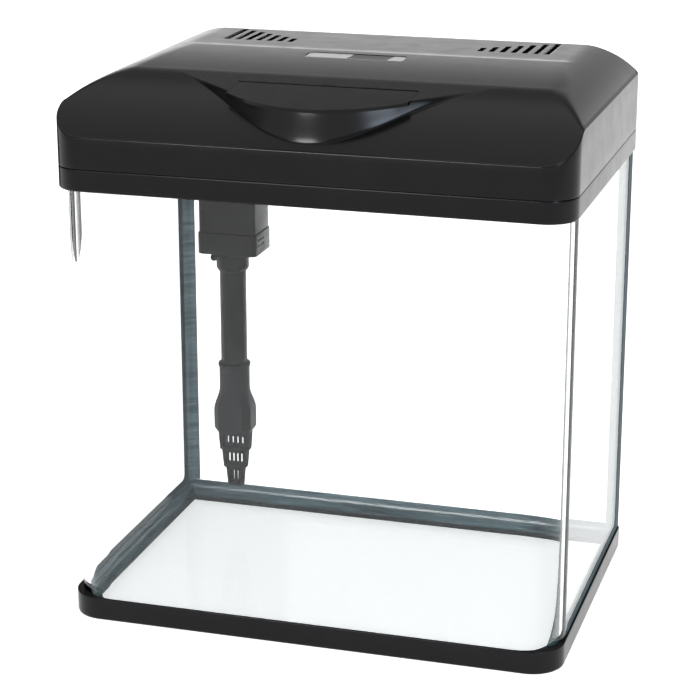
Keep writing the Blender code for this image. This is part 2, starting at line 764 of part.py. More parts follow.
def add_lid_hinges(lid):
    """Knuckles on the rear wall, with room for the rim's ears and the pins."""
    for side, centre, ears in hinge_stations():
        for number, start in enumerate(ears):
            cut(lid, rod(f"ear_room_{side}_{number}", EAR_ROOM_RADIUS,
                         (start - FIT, HINGE_Y, HINGE_Z), (start + EAR + FIT, HINGE_Y, HINGE_Z)))
        low, high = centre - KNUCKLE / 2, centre + KNUCKLE / 2
        add(lid, box(f"knuckle_root_{side}", (low, HINGE_Y - HINGE_RADIUS, HINGE_Z),
                     (high, HINGE_Y + HINGE_RADIUS, HINGE_Z + 6 * MM)))
        add(lid, rod(f"knuckle_{side}", HINGE_RADIUS, (low, HINGE_Y, HINGE_Z), (high, HINGE_Y, HINGE_Z)))
        cut(lid, rod(f"knuckle_hole_{side}", HINGE_PIN_RADIUS + FIT, (low - EAR, HINGE_Y, HINGE_Z),
                     (high + EAR, HINGE_Y, HINGE_Z), segments=16))


def light_screw_x():
    return LIGHT_LENGTH / 2 + LIGHT_EAR / 2


def add_light_bosses(lid):
    """Two bosses under the deck that the light is screwed to."""
    for side in (-1, 1):
        place = (side * light_screw_x(), LIGHT_Y)
        add(lid, rod(f"light_boss_{side}", 4.5 * MM, (*place, LIGHT_TOP_Z + FIT),
                     (*place, lid_height(*place) - LID_WALL / 2)))
        cut(lid, rod(f"light_boss_hole_{side}", 1.8 * MM, (*place, LIGHT_TOP_Z - 2 * MM),
                     (*place, LIGHT_TOP_Z + 5.5 * MM), segments=12))


def vent_boxes():
    """The cooling slots of both sides, longest at the outside."""
    found = []
    for side in (-1, 1):
        for number in range(VENTS_A_SIDE):
            x = side * (RIM_HALF_X - VENT_OUTERMOST - number * VENT_PITCH)
            length = VENT_SHORTEST + VENT_GROWTH * (VENTS_A_SIDE - 1 - number)
            found.append(((x - VENT_WIDTH / 2, VENT_START_Y, TOP_Z - 10 * MM),
                          (x + VENT_WIDTH / 2, min(VENT_START_Y + length, RIM_HALF_Y - 2 * LID_WALL),
                           TOP_Z + 5 * MM)))
    return found


def badge_outline(grow):
    points = rounded(BADGE_WIDTH / 2 + grow, BADGE_DEPTH / 2 + grow, 4 * MM + grow, 4 * MM + grow, steps=5)
    return [(x + BADGE_X, y + BADGE_Y) for x, y in points]


def deck_plate(name, outline, above, below, material):
    """A plate that follows the deck's slope."""
    def at(offset):
        return [(x, y, TOP_Z - math.tan(DECK_SLOPE) * (CREASE_Y - y) + offset) for x, y in outline]
    return loft(name, [at(-below), at(above)], material)


def make_badge_seat():
    return deck_plate("badge_seat", badge_outline(FIT), 5 * MM, BADGE_THICKNESS, black_plastic())


def make_badge_plate():
    deck_plate("badge_plate", badge_outline(0.0), 0.0, BADGE_THICKNESS - FIT, badge_silver())


def make_feeding_flap():
    """The flap lies along the visor, with a barrel at its rear and a stub at each end."""
    outline = flap_outline(0.0, -FLAP_BARREL_RADIUS, -FLAP_LIP)
    flap = sloped_plate("feeding_flap", outline, 0.0, FLAP_THICKNESS)
    y, z = flap_axis()
    half = FLAP_WIDTH / 2
    add(flap, rod("flap_barrel", FLAP_BARREL_RADIUS, (-half, y, z), (half, y, z)))
    reach = half + FLAP_SLACK + 1.5 * MM
    add(flap, rod("flap_stubs", FLAP_STUB_RADIUS, (-reach, y, z), (reach, y, z), segments=12))


# ---------------------------------------------------------------- light

def make_light_housing():
    half = LIGHT_LENGTH / 2
    low_z = LIGHT_TOP_Z - LIGHT_HEIGHT
    front, rear = LIGHT_Y - LIGHT_WIDTH / 2, LIGHT_Y + LIGHT_WIDTH / 2
    housing = box("light_housing", (-half, front, low_z), (half, rear, LIGHT_TOP_Z))
    bevel(housing, 1.2 * MM)
    add(housing, box("light_ears", (-half - LIGHT_EAR, LIGHT_Y - 6 * MM, LIGHT_TOP_Z - 4 * MM),
                     (half + LIGHT_EAR, LIGHT_Y + 6 * MM, LIGHT_TOP_Z - 0.05 * MM)))
    cut(housing, box("light_room", (-half + LIGHT_WALL, front + LIGHT_WALL, low_z - 5 * MM),
                     (half - LIGHT_WALL, rear - LIGHT_WALL, LIGHT_TOP_Z - LIGHT_WALL)))
    for side in (-1, 1):
        place = (side * light_screw_x(), LIGHT_Y)
        cut(housing, rod(f"light_screw_hole_{side}", 1.8 * MM, (*place, LIGHT_TOP_Z - 6 * MM),
                         (*place, LIGHT_TOP_Z + 2 * MM), segments=12))


def make_light_board():
    half = LIGHT_LENGTH / 2 - LIGHT_WALL - FIT
    side = LIGHT_WIDTH / 2 - LIGHT_WALL - FIT
    top = LIGHT_TOP_Z - LIGHT_WALL - FIT
    board = box("light_board", (-half, LIGHT_Y - side, top - 1.4 * MM), (half, LIGHT_Y + side, top),
                board_white())
    pitch = 2 * half / LAMPS
    lamp = 1.75 * MM
    lamps = []
    for number in range(LAMPS):
        x = -half + pitch * (number + 0.5)
        lamps.append(((x - lamp, LIGHT_Y - lamp, top - 2.2 * MM), (x + lamp, LIGHT_Y + lamp, top - 1 * MM)))
    add(board, boxes("lamps", lamps, board_white()))


def make_light_lens():
    half = LIGHT_LENGTH / 2 - LIGHT_WALL - FIT
    side = LIGHT_WIDTH / 2 - LIGHT_WALL - FIT
    low = LIGHT_TOP_Z - LIGHT_HEIGHT + 0.4 * MM
    box("light_lens", (-half, LIGHT_Y - side, low), (half, LIGHT_Y + side, low + 1.6 * MM), lens_clear())


def make_light_screw(name, side):
    """A pan-head screw, head down."""
    seat = LIGHT_TOP_Z - 4 * MM - FIT
    tip = LIGHT_TOP_Z + 5 * MM
    profile = [(0.0, tip), (1.2 * MM, tip), (1.5 * MM, tip - 0.8 * MM), (1.5 * MM, seat), (3.2 * MM, seat),
               (3.0 * MM, seat - 1.4 * MM), (1.8 * MM, seat - 2.2 * MM), (0.0, seat - 2.4 * MM)]
    turned(name, profile, (side * light_screw_x(), LIGHT_Y), bright_steel(), steps=16)


# ---------------------------------------------------------------- filter tray

def make_filter_tray():
    flange = TRAY_HALF + TRAY_FLANGE
    front = CROSSBAR_Y + CROSSBAR / 2
    rear = TRAY_REAR_Y + REAR_LEDGE / 2
    well_low = (-TRAY_HALF, TRAY_FRONT_Y, TRAY_FLOOR_Z)
    tray = box("filter_tray", well_low, (TRAY_HALF, TRAY_REAR_Y, FLANGE_Z + 1 * MM), grey_plastic())
    add(tray, box("tray_flange", (-flange, front, FLANGE_Z), (flange, rear, FLANGE_Z + TRAY_WALL)))
    low_y, high_y = TRAY_FRONT_Y + TRAY_WALL, TRAY_REAR_Y - TRAY_WALL
    room_z = TRAY_FLOOR_Z + TRAY_WALL
    rooms = [((-TRAY_HALF + TRAY_WALL, low_y, room_z), (TRAY_DIVIDER_X - TRAY_WALL, high_y, SEAM_Z)),
             ((TRAY_DIVIDER_X, low_y, room_z), (TRAY_HALF - TRAY_WALL, high_y, SEAM_Z))]
    cut(tray, boxes("tray_rooms", rooms))
    weir = box("tray_weir", (TRAY_DIVIDER_X - 2 * TRAY_WALL, low_y + 8 * MM, TRAY_FLOOR_Z + 21 * MM),
               (TRAY_DIVIDER_X + TRAY_WALL, high_y - 8 * MM, FLANGE_Z - 4 * MM))
    seat_z = FLANGE_Z + TRAY_WALL - COVER_THICKNESS - FIT
    lip = box("cover_seat", (TRAY_DIVIDER_X + 1 * MM, low_y - 1 * MM, seat_z),
              (TRAY_HALF - 1 * MM, high_y + 1 * MM, SEAM_Z))
    drains = []
    for number in range(9):
        x = TRAY_DIVIDER_X + 150 * MM + number * 12 * MM
        drains.append(((x, low_y + 10 * MM, TRAY_FLOOR_Z - 2 * MM),
                       (x + 3 * MM, high_y - 10 * MM, TRAY_FLOOR_Z + 4 * MM)))
    outlet = rod("tray_outlet_hole", OUTLET_RADIUS + NOZZLE_WALL + FIT,
                 (OUTLET_X, INTAKE_Y, TRAY_FLOOR_Z - 2 * MM), (OUTLET_X, INTAKE_Y, TRAY_FLOOR_Z + 5 * MM))
    cut(tray, weir, lip, boxes("tray_drains", drains), outlet)


def make_tray_cover():
    """The slotted drip plate, lying on the lip inside the tray."""
    low_y, high_y = TRAY_FRONT_Y + TRAY_WALL - 1 * MM + FIT, TRAY_REAR_Y - TRAY_WALL + 1 * MM - FIT
    left, right = TRAY_DIVIDER_X + 1 * MM + FIT, TRAY_HALF - 1 * MM - FIT
    top = FLANGE_Z + TRAY_WALL
    cover = box("tray_cover", (left, low_y, top - COVER_THICKNESS), (right, high_y, top), grey_plastic())
    slots = []
    count = 16
    pitch = (right - left) / count
    for number in range(count):
        x = left + pitch * (number + 0.5)
        slots.append(((x - 1.5 * MM, low_y + 6 * MM, RIM_LEDGE_Z), (x + 1.5 * MM, high_y - 6 * MM, SEAM_Z)))
    cut(cover, boxes("cover_slots", slots))


def make_filter_sponge():
    low = TRAY_FLOOR_Z + TRAY_WALL + FIT
    sponge = box("filter_sponge", (TRAY_DIVIDER_X + 1 * MM, TRAY_FRONT_Y + TRAY_WALL + 0.5 * MM, low),
                 (TRAY_HALF - TRAY_WALL - 1 * MM, TRAY_REAR_Y - TRAY_WALL - 0.5 * MM, low + SPONGE_HEIGHT),
                 blue_sponge())
    bevel(sponge, 1.5 * MM)


# ---------------------------------------------------------------- pump

def pump_outline(grow, corner=PUMP_CORNER):
    points = rounded(PUMP_WIDTH / 2 + grow, PUMP_DEPTH / 2 + grow, corner + grow, corner + grow, steps=4)
    return [(x + PUMP_X, y + INTAKE_Y) for x, y in points]


def make_pump_upper_housing():
    """The motor's case: a pocket for the stator, a well for the rotor and a rising outlet duct."""
    low = PUMP_SEAM_Z + FIT / 2
    housing = plate("pump_upper_housing", [pump_outline(0.0)], low, PUMP_TOP_Z)
    axis = (INTAKE_X, INTAKE_Y)
    pocket_right = OUTLET_X - OUTLET_RADIUS - 1.5 * MM
    pocket = box("motor_pocket",
                 (PUMP_X - PUMP_WIDTH / 2 + 3 * MM, INTAKE_Y - PUMP_DEPTH / 2 + 3 * MM, POCKET_Z),
                 (pocket_right, INTAKE_Y + PUMP_DEPTH / 2 - 3 * MM, PUMP_TOP_Z + 5 * MM))
    well = rod("rotor_well_wall", WELL_RADIUS + WELL_WALL, (*axis, POCKET_Z - 1 * MM),
               (*axis, WELL_TOP_Z + WELL_WALL))
    bore = rod("rotor_well", WELL_RADIUS, (*axis, low - 5 * MM), (*axis, WELL_TOP_Z))
    duct = rod("outlet_duct", OUTLET_RADIUS, (OUTLET_X, INTAKE_Y, low - 5 * MM),
               (OUTLET_X, INTAKE_Y, PUMP_TOP_Z + 5 * MM), segments=16)
    boolean(cut(housing, pocket), well, "UNION")
    cut(housing, bore, duct)
    face = PUMP_X + PUMP_WIDTH / 2
    grooves = []
    for number in range(2):
        groove = box(f"side_groove_{number}", (-1 * MM, -11 * MM, -0.9 * MM), (2 * MM, 11 * MM, 0.9 * MM))
        groove.location = (face, INTAKE_Y + (3 - 7 * number) * MM, (294 - 2 * number) * MM)
        groove.rotation_euler.x = math.radians(-52)
        grooves.append(groove)
    cut(housing, *grooves)


def make_pump_lower_housing():
    """The impeller chamber, with a spider over its inlet and a passage to the outlet duct."""
    housing = plate("pump_lower_housing", [pump_outline(1 * MM)], PUMP_LOW_Z, PUMP_SEAM_Z - FIT / 2)
    bevel(housing, 2.5 * MM, segments=3)
    axis = (INTAKE_X, INTAKE_Y)
    floor = PUMP_LOW_Z + 2.5 * MM
    chamber = rod("impeller_chamber", CHAMBER_RADIUS, (*axis, floor), (*axis, PUMP_SEAM_Z + 5 * MM),
                  segments=32)
    passage = box("outlet_passage", (INTAKE_X, INTAKE_Y - OUTLET_RADIUS, floor + 3 * MM),
                  (OUTLET_X + OUTLET_RADIUS, INTAKE_Y + OUTLET_RADIUS, PUMP_SEAM_Z + 5 * MM))
    inlet = rod("pump_inlet", INLET_RADIUS, (*axis, PUMP_LOW_Z - 5 * MM), (*axis, floor + 1 * MM))
    cut(housing, chamber, passage, inlet)
    arms = box("spider_x", (INTAKE_X - INLET_RADIUS - 1 * MM, INTAKE_Y - 1 * MM, PUMP_LOW_Z + 0.5 * MM),
               (INTAKE_X + INLET_RADIUS + 1 * MM, INTAKE_Y + 1 * MM, floor - 0.1 * MM))
    cross = box("spider_y", (INTAKE_X - 1 * MM, INTAKE_Y - INLET_RADIUS - 1 * MM, PUMP_LOW_Z + 0.6 * MM),
                (INTAKE_X + 1 * MM, INTAKE_Y + INLET_RADIUS + 1 * MM, floor - 0.2 * MM))
    boss = rod("spider_boss", 3 * MM, (*axis, PUMP_LOW_Z + 0.4 * MM), (*axis, floor))
    add(housing, arms, cross, boss)
    face = PUMP_X + PUMP_WIDTH / 2 + 1 * MM
    slots = []
    for row in range(2):
        for column in range(3):
            y = INTAKE_Y - 14 * MM + column * 5.5 * MM
            z = PUMP_LOW_Z + 7 * MM + row * 4.5 * MM
            slots.append(((face - 0.8 * MM, y, z), (face + 2 * MM, y + 4 * MM, z + 1.6 * MM)))
    cut(housing, boxes("side_slots", slots))


def make_pump_cap():
    low = PUMP_TOP_Z + FIT
    hole = circle(OUTLET_RADIUS + NOZZLE_WALL + FIT, (OUTLET_X, INTAKE_Y))
    cap = plate("pump_cap", [pump_outline(0.0), hole], low, low + PUMP_CAP)
    return cap


def make_pump_stator():
    """The iron core, standing on the pocket's floor around the rotor's well."""
    half_x, half_y = 12.2 * MM, 14 * MM
    outline = [(INTAKE_X - half_x, INTAKE_Y - half_y), (INTAKE_X + half_x, INTAKE_Y - half_y),
               (INTAKE_X + half_x, INTAKE_Y + half_y), (INTAKE_X - half_x, INTAKE_Y + half_y)]
    bore = circle(WELL_RADIUS + WELL_WALL + FIT, (INTAKE_X, INTAKE_Y))
    plate("pump_stator", [outline, bore], POCKET_Z + FIT, POCKET_Z + 26 * MM, stator_iron())


def make_bushing(name, low, height):
    place = (INTAKE_X, INTAKE_Y)
    plate(name, [circle(2.8 * MM, place, 20), circle(SHAFT_RADIUS + 0.3 * MM, place, 16)], low, low + height,
          soft_rubber())


def make_rotor():
    """The magnet and the impeller, which turn together on the fixed shaft."""
    place = (INTAKE_X, INTAKE_Y)
    bore = circle(SHAFT_RADIUS + FIT, place, 16)
    floor = PUMP_LOW_Z + 2.5 * MM
    bushing = 2.5 * MM
    make_bushing("lower_bushing", floor + FIT, bushing)
    make_bushing("upper_bushing", WELL_TOP_Z - FIT - bushing, bushing)
    rod("rotor_shaft", SHAFT_RADIUS, (*place, floor + FIT), (*place, WELL_TOP_Z - FIT), ceramic_white(), 16)
    hub_low = floor + 2 * FIT + bushing
    hub_high = PUMP_SEAM_Z + 2 * MM
    plate("rotor_magnet", [circle(MAGNET_RADIUS, place), bore], hub_high + FIT,
          WELL_TOP_Z - 2 * FIT - bushing, magnet_black())
    impeller = plate("impeller", [circle(4.5 * MM, place, 24), bore], hub_low, hub_high, grey_plastic())
    for number in range(4):
        blade = box(f"blade_{number}", (3.2 * MM, -0.6 * MM, 0.0),
                    (CHAMBER_RADIUS - 1.5 * MM, 0.6 * MM, 9 * MM))
        blade.location = (*place, hub_low + 0.5 * MM)
        blade.rotation_euler.z = math.radians(45 + 90 * number)
        add(impeller, blade)


def make_outlet_nozzle():
    """A short pipe that carries the water up into the tray."""
    place = (OUTLET_X, INTAKE_Y)
    rings = [circle(OUTLET_RADIUS + NOZZLE_WALL, place), circle(OUTLET_RADIUS, place)]
    nozzle = plate("outlet_nozzle", rings,
                   PUMP_TOP_Z + FIT, TRAY_FLOOR_Z + 17 * MM, grey_plastic())
    cut(nozzle, box("nozzle_mouth", (OUTLET_X, INTAKE_Y - 3 * MM, TRAY_FLOOR_Z + 11 * MM),
                    (OUTLET_X + 20 * MM, INTAKE_Y + 3 * MM, TRAY_FLOOR_Z + 20 * MM)))


def make_flow_ring():
    """The flow regulator: a ring under the pump with a lever and a round grip."""
    place = (INTAKE_X, INTAKE_Y)
    low = COLLAR_TOP_Z + FIT
    high = low + RING_HEIGHT
    middle = (low + high) / 2
    circles = [circle(INLET_RADIUS + RING_WALL, place), circle(INLET_RADIUS, place)]
    ring = plate("flow_ring", circles, low, high)
    lever_end = (INTAKE_X - 10.5 * MM, INTAKE_Y - 15.5 * MM, middle)
    reach = Vector(lever_end) - Vector((*place, middle))
    add(ring, rod("flow_lever", 1.3 * MM, Vector((*place, middle)) + reach * 0.55, lever_end, segments=12))
    grip = bmesh.new()
    bmesh.ops.create_uvsphere(grip, u_segments=16, v_segments=10, radius=2.9 * MM,
                              matrix=Matrix.Translation((lever_end[0], lever_end[1], middle - 1.2 * MM)))
    add(ring, smooth(mesh_object("flow_grip", grip, black_plastic())))


def make_tube_collar():
    bore = TUBE_RADIUS + FIT
    place = (INTAKE_X, INTAKE_Y)
    collar = turned("tube_collar", [(0.0, COLLAR_TOP_Z), (COLLAR_RADIUS, COLLAR_TOP_Z),
                                    (COLLAR_RADIUS, COLLAR_LOW_Z + 2.5 * MM),
                                    (COLLAR_RADIUS - 1.4 * MM, COLLAR_LOW_Z), (0.0, COLLAR_LOW_Z)], place)
    roof = (*place, COLLAR_TOP_Z - COLLAR_ROOF)
    cut(collar, rod("collar_bore", bore, (*place, COLLAR_LOW_Z - 5 * MM), roof, segments=32),
        rod("collar_port", INLET_RADIUS, (*place, COLLAR_TOP_Z - COLLAR_ROOF - 1 * MM),
            (*place, COLLAR_TOP_Z + 5 * MM)))


def make_intake_tube():
    place = (INTAKE_X, INTAKE_Y)
    plate("intake_tube", [circle(TUBE_RADIUS, place), circle(TUBE_RADIUS - TUBE_WALL, place)],
          TUBE_LOW_Z, TUBE_TOP_Z)


def super_ring(half_x, half_y, power, z, count=32):
    """A ring between an ellipse (power 2) and a box (high power)."""
    points = []
    for i in range(count):
        angle = 2 * math.pi * (i + 0.5) / count
        c, s = math.cos(angle), math.sin(angle)
        scale = (abs(c) ** power + abs(s) ** power) ** (-1 / power)
        points.append((INTAKE_X + half_x * scale * c, INTAKE_Y + half_y * scale * s, z))
    return points


def make_strainer_adapter():
    """A sleeve that slides on the tube and widens into a box that holds the strainer."""
    wide, deep = ADAPTER_WIDTH / 2, ADAPTER_DEPTH / 2
    neck = SLEEVE_RADIUS + 0.6 * MM
    body = loft("strainer_adapter", [
        super_ring(wide - 1.5 * MM, deep - 0.8 * MM, 7, ADAPTER_LOW_Z),
        super_ring(wide, deep, 7, ADAPTER_LOW_Z + 5 * MM),
        super_ring(wide, deep, 7, ADAPTER_BOX_Z),
        super_ring(neck + 1.5 * MM, neck - 0.7 * MM, 3, (ADAPTER_BOX_Z + ADAPTER_SHOULDER_Z) / 2 + 4 * MM),
        super_ring(neck, neck, 2, ADAPTER_SHOULDER_Z),
        super_ring(SLEEVE_RADIUS, SLEEVE_RADIUS, 2, SLEEVE_TOP_Z - 3 * MM),
        super_ring(SLEEVE_RADIUS + 0.7 * MM, SLEEVE_RADIUS + 0.7 * MM, 2, SLEEVE_TOP_Z - 2.6 * MM),
        super_ring(SLEEVE_RADIUS + 0.7 * MM, SLEEVE_RADIUS + 0.7 * MM, 2, SLEEVE_TOP_Z)], grey_plastic())
    place = (INTAKE_X, INTAKE_Y)
    bore = rod("adapter_bore", TUBE_RADIUS + FIT, (*place, ADAPTER_SHOULDER_Z - 2 * MM),
               (*place, SLEEVE_TOP_Z + 5 * MM), segments=32)
    throat = box("adapter_throat", (INTAKE_X - 8 * MM, INTAKE_Y - 8 * MM, ADAPTER_LOW_Z + 5 * MM),
                 (INTAKE_X + 8 * MM, INTAKE_Y + 8 * MM, ADAPTER_SHOULDER_Z))
    mouth = box("adapter_mouth", (INTAKE_X - 14.2 * MM, INTAKE_Y - 8.2 * MM, ADAPTER_LOW_Z - 5 * MM),
                (INTAKE_X + 14.2 * MM, INTAKE_Y + 8.2 * MM, ADAPTER_LOW_Z + 6 * MM))
    cut(body, bore, throat, mouth)


def make_strainer_cage():
    """Three tapering tiers with slots through them, open at the top."""
    top = ADAPTER_LOW_Z + STRAINER_SEAT
    rings, inner = [], []
    z = top
    for half_x, half_y, height in STRAINER_TIERS:
        for drop, less in ((0.0, 0.0), (height, STRAINER_DRAFT)):
            lift = 0.1 * MM if less else 0.0
            rings.append(super_ring(half_x - less, half_y - less * 0.7, 7, z - drop + lift))
            inner.append(super_ring(half_x - less - STRAINER_WALL, half_y - less * 0.7 - STRAINER_WALL, 7,
                                    z - drop + (STRAINER_WALL if less else 0.0)))
        z -= height
    inner[0] = [(x, y, top + 3 * MM) for x, y, _ in inner[0]]
    for number in (2, 4):
        inner[number] = [(x, y, level + STRAINER_WALL - 0.2 * MM) for x, y, level in inner[number]]
    cage = loft("strainer_cage", rings, grey_plastic())
    cut(cage, loft("cage_room", inner))
    slots = []
    z = top
    for tier, (half_x, half_y, height) in enumerate(STRAINER_TIERS):
        count = 5 - tier
        for number in range(count):
            x = INTAKE_X + (number - (count - 1) / 2) * STRAINER_BARS
            low, high = z - height + 3 * MM, z - 5 * MM
            slots.append(((x - STRAINER_SLOT / 2, INTAKE_Y - 20 * MM, low),
                          (x + STRAINER_SLOT / 2, INTAKE_Y + 20 * MM, high)))
        z -= height
    cut(cage, boxes("cage_slots", slots))


def main():
    clear_scene()
    make_base_frame()
    make_floor_glass()
    make_bent_glass()
    make_rear_glass()
    make_floor_sealant()
    make_corner_sealant("corner_sealant_left", -1)
    make_corner_sealant("corner_sealant_right", 1)
    make_hood_rim()
    make_hinge_pin("hinge_pin_left", -HINGE_X)
    make_hinge_pin("hinge_pin_right", HINGE_X)
    make_lid_shell()
    make_badge_plate()
    make_feeding_flap()
    make_light_housing()
    make_light_board()
    make_light_lens()
    make_light_screw("light_screw_left", -1)
    make_light_screw("light_screw_right", 1)
    make_filter_tray()
    make_tray_cover()
    make_filter_sponge()
    make_pump_upper_housing()
    make_pump_lower_housing()
    make_pump_cap()
    make_pump_stator()
    make_rotor()
    make_outlet_nozzle()
    make_flow_ring()
    make_tube_collar()
    make_intake_tube()
    make_strainer_adapter()
    make_strainer_cage()


main()
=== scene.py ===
"""Looks of a hooded aquarium: a bent-glass tank, a filter pump and a hinged lid with a feeding flap.

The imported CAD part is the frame. Each sub-assembly is a class that builds or refines its own pieces.
"""

from __future__ import annotations

import logging
import math
from dataclasses import dataclass, field
from enum import Enum

import bmesh
import bpy
import numpy as np
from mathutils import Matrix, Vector

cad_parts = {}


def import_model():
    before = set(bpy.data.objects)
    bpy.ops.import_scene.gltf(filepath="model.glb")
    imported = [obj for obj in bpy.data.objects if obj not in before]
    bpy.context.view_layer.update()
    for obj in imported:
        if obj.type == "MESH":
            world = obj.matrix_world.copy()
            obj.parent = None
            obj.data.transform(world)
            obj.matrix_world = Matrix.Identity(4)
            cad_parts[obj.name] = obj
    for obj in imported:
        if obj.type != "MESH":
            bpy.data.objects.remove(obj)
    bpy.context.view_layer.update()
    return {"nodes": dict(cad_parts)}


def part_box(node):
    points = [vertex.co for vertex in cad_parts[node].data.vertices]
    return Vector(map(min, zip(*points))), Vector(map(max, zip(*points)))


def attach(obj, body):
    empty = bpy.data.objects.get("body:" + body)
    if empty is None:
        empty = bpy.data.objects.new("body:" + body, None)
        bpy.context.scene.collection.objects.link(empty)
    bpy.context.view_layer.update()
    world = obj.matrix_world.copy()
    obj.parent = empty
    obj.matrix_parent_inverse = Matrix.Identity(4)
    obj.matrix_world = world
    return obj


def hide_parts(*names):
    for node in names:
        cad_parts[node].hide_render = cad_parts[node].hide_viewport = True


LOG = logging.getLogger("aquarium")
MM = 0.001
Array = np.ndarray
CORNERS = ((1, 1), (-1, 1), (-1, -1), (1, -1))
WELD = 0.002 * MM


class Body(Enum):
    """The moving groups of the part."""

    TANK = "tank"
    HOOD = "hood"
    LID = "lid"
    FLAP = "flap"
    ROTOR = "rotor"
    REGULATOR = "regulator"
    STRAINER = "strainer"


class Slot(Enum):
    """The record's material slots."""

    BLACK = "black_plastic"
    GREY = "grey_plastic"
    GLASS = "clear_glass"
    SEALANT = "sealant"
    STEEL = "bright_steel"
    CERAMIC = "ceramic_white"
    MAGNET = "magnet_black"
    IRON = "stator_iron"
    SPONGE = "blue_sponge"
    BOARD = "board_white"
    LENS = "lens_clear"
    RUBBER = "soft_rubber"
    BADGE = "badge_silver"


# ---------------------------------------------------------------- node graph

class Graph:
    """A material's nodes, made and wired by short calls."""

    def __init__(self, name: str) -> None:
        """Starts an empty material.

        Args:
            name: the material's name.
        """
        self.material = bpy.data.materials.new(name)
        self.material.use_nodes = True
        self.tree = self.material.node_tree
        self.shader = self.tree.nodes["Principled BSDF"]
        self.output = self.tree.nodes["Material Output"]
        self.coordinates = self.tree.nodes.new("ShaderNodeTexCoord").outputs["Object"]

    def node(self, kind: str, **values: object) -> bpy.types.Node:
        """Adds a node and sets its properties and unlinked inputs.

        Args:
            kind: the node's type without the ShaderNode prefix.
            values: properties by name, or inputs by name with spaces as underscores.

        Returns:
            The new node.
        """
        made = self.tree.nodes.new("ShaderNode" + kind)
        for key, value in values.items():
            if hasattr(made, key):
                setattr(made, key, value)
            else:
                made.inputs[key.replace("_", " ")].default_value = value
        return made

    def wire(self, source: bpy.types.NodeSocket, target: bpy.types.NodeSocket) -> None:
        """Joins two sockets."""
        self.tree.links.new(source, target)

    def noise(self, scale: float, detail: float = 3.0,
              stretch: tuple[float, float, float] = (1, 1, 1)) -> bpy.types.NodeSocket:
        """A noise over the object's own place.

        Args:
            scale: cells per metre.
            detail: octaves.
            stretch: scale along each axis.

        Returns:
            The noise's factor socket.
        """
        place = self.node("Mapping")
        place.inputs["Scale"].default_value = stretch
        self.wire(self.coordinates, place.inputs["Vector"])
        made = self.node("TexNoise", Scale=scale, Detail=detail, Roughness=0.55)
        self.wire(place.outputs["Vector"], made.inputs["Vector"])
        return made.outputs["Fac"]

    def span(self, source: bpy.types.NodeSocket, low: float, high: float) -> bpy.types.NodeSocket:
        """Maps a factor to a range.

        Args:
            source: a factor socket.
            low: value at 0.3.
            high: value at 0.7.

        Returns:
            The mapped socket.
        """
        made = self.node("MapRange")
        for key, value in (("From Min", 0.3), ("From Max", 0.7), ("To Min", low), ("To Max", high)):
            made.inputs[key].default_value = value
        self.wire(source, made.inputs["Value"])
        return made.outputs["Result"]

    def tint(self, source: bpy.types.NodeSocket, first: tuple[float, ...], second: tuple[float, ...]) -> None:
        """Varies the base colour between two colours.

        Args:
            source: a factor socket.
            first: colour at 0.
            second: colour at 1.
        """
        made = self.node("Mix", data_type="RGBA")
        made.inputs[6].default_value = (*first, 1.0)
        made.inputs[7].default_value = (*second, 1.0)
        self.wire(self.span(source, 0.0, 1.0), made.inputs[0])
        self.wire(made.outputs[2], self.shader.inputs["Base Color"])

    def relief(self, *layers: tuple[object, float]) -> None:
        """Stacks bump layers.

        Args:
            layers: pairs of a height socket and a depth in metres.
        """
        normal = None
        for height, depth in layers:
            made = self.node("Bump", Strength=1.0, Distance=depth)
            self.wire(height, made.inputs["Height"])
            if normal is not None:
                self.wire(normal, made.inputs["Normal"])
            normal = made.outputs["Normal"]
        self.wire(normal, self.shader.inputs["Normal"])

    def fixed(self, **values: object) -> None:
        """Sets the shader's own sockets, with spaces in their names as underscores."""
        for key, value in values.items():
            self.shader.inputs[key.replace("_", " ")].default_value = value


# ---------------------------------------------------------------- finishes

@dataclass(frozen=True)
class MouldedPlastic:
    """Injection-moulded plastic with a fine spark-eroded grain and faint sink marks."""

    name: str
    colour: tuple[float, float, float]
    lighter: tuple[float, float, float]
    roughness: float = 0.2
    spread: float = 0.03
    ior: float = 1.25
    grain: float = 0.003 * MM
    grain_scale: float = 2600.0
    sink: float = 0.02 * MM

    def build(self) -> bpy.types.Material:
        """Makes the material.

        Returns:
            The material.
        """
        graph = Graph(self.name)
        graph.fixed(IOR=self.ior, Metallic=0.0)
        cloud = graph.noise(18.0, 4.0)
        graph.tint(cloud, self.colour, self.lighter)
        rough = graph.span(graph.noise(60.0, 5.0), self.roughness - self.spread, self.roughness + self.spread)
        graph.wire(rough, graph.shader.inputs["Roughness"])
        graph.relief((graph.noise(self.grain_scale, 2.0), self.grain), (graph.noise(9.0, 1.0), self.sink))
        return graph.material


@dataclass(frozen=True)
class ClearGlass:
    """Float glass: clean faces, and a green-blue body that shows where light runs along the pane."""

    name: str = "float_glass"
    body: tuple[float, float, float] = (0.30, 0.62, 0.60)
    density: float = 5.0
    ior: float = 1.3

    def build(self) -> bpy.types.Material:
        """Makes the material.

        Returns:
            The material.
        """
        graph = Graph(self.name)
        graph.fixed(Base_Color=(1, 1, 1, 1), Transmission_Weight=1.0, IOR=self.ior)
        graph.wire(graph.span(graph.noise(14.0, 4.0), 0.0, 0.004), graph.shader.inputs["Roughness"])
        depth = graph.node("VolumeAbsorption", Color=(*self.body, 1.0), Density=self.density)
        graph.wire(depth.outputs["Volume"], graph.output.inputs["Volume"])
        return graph.material


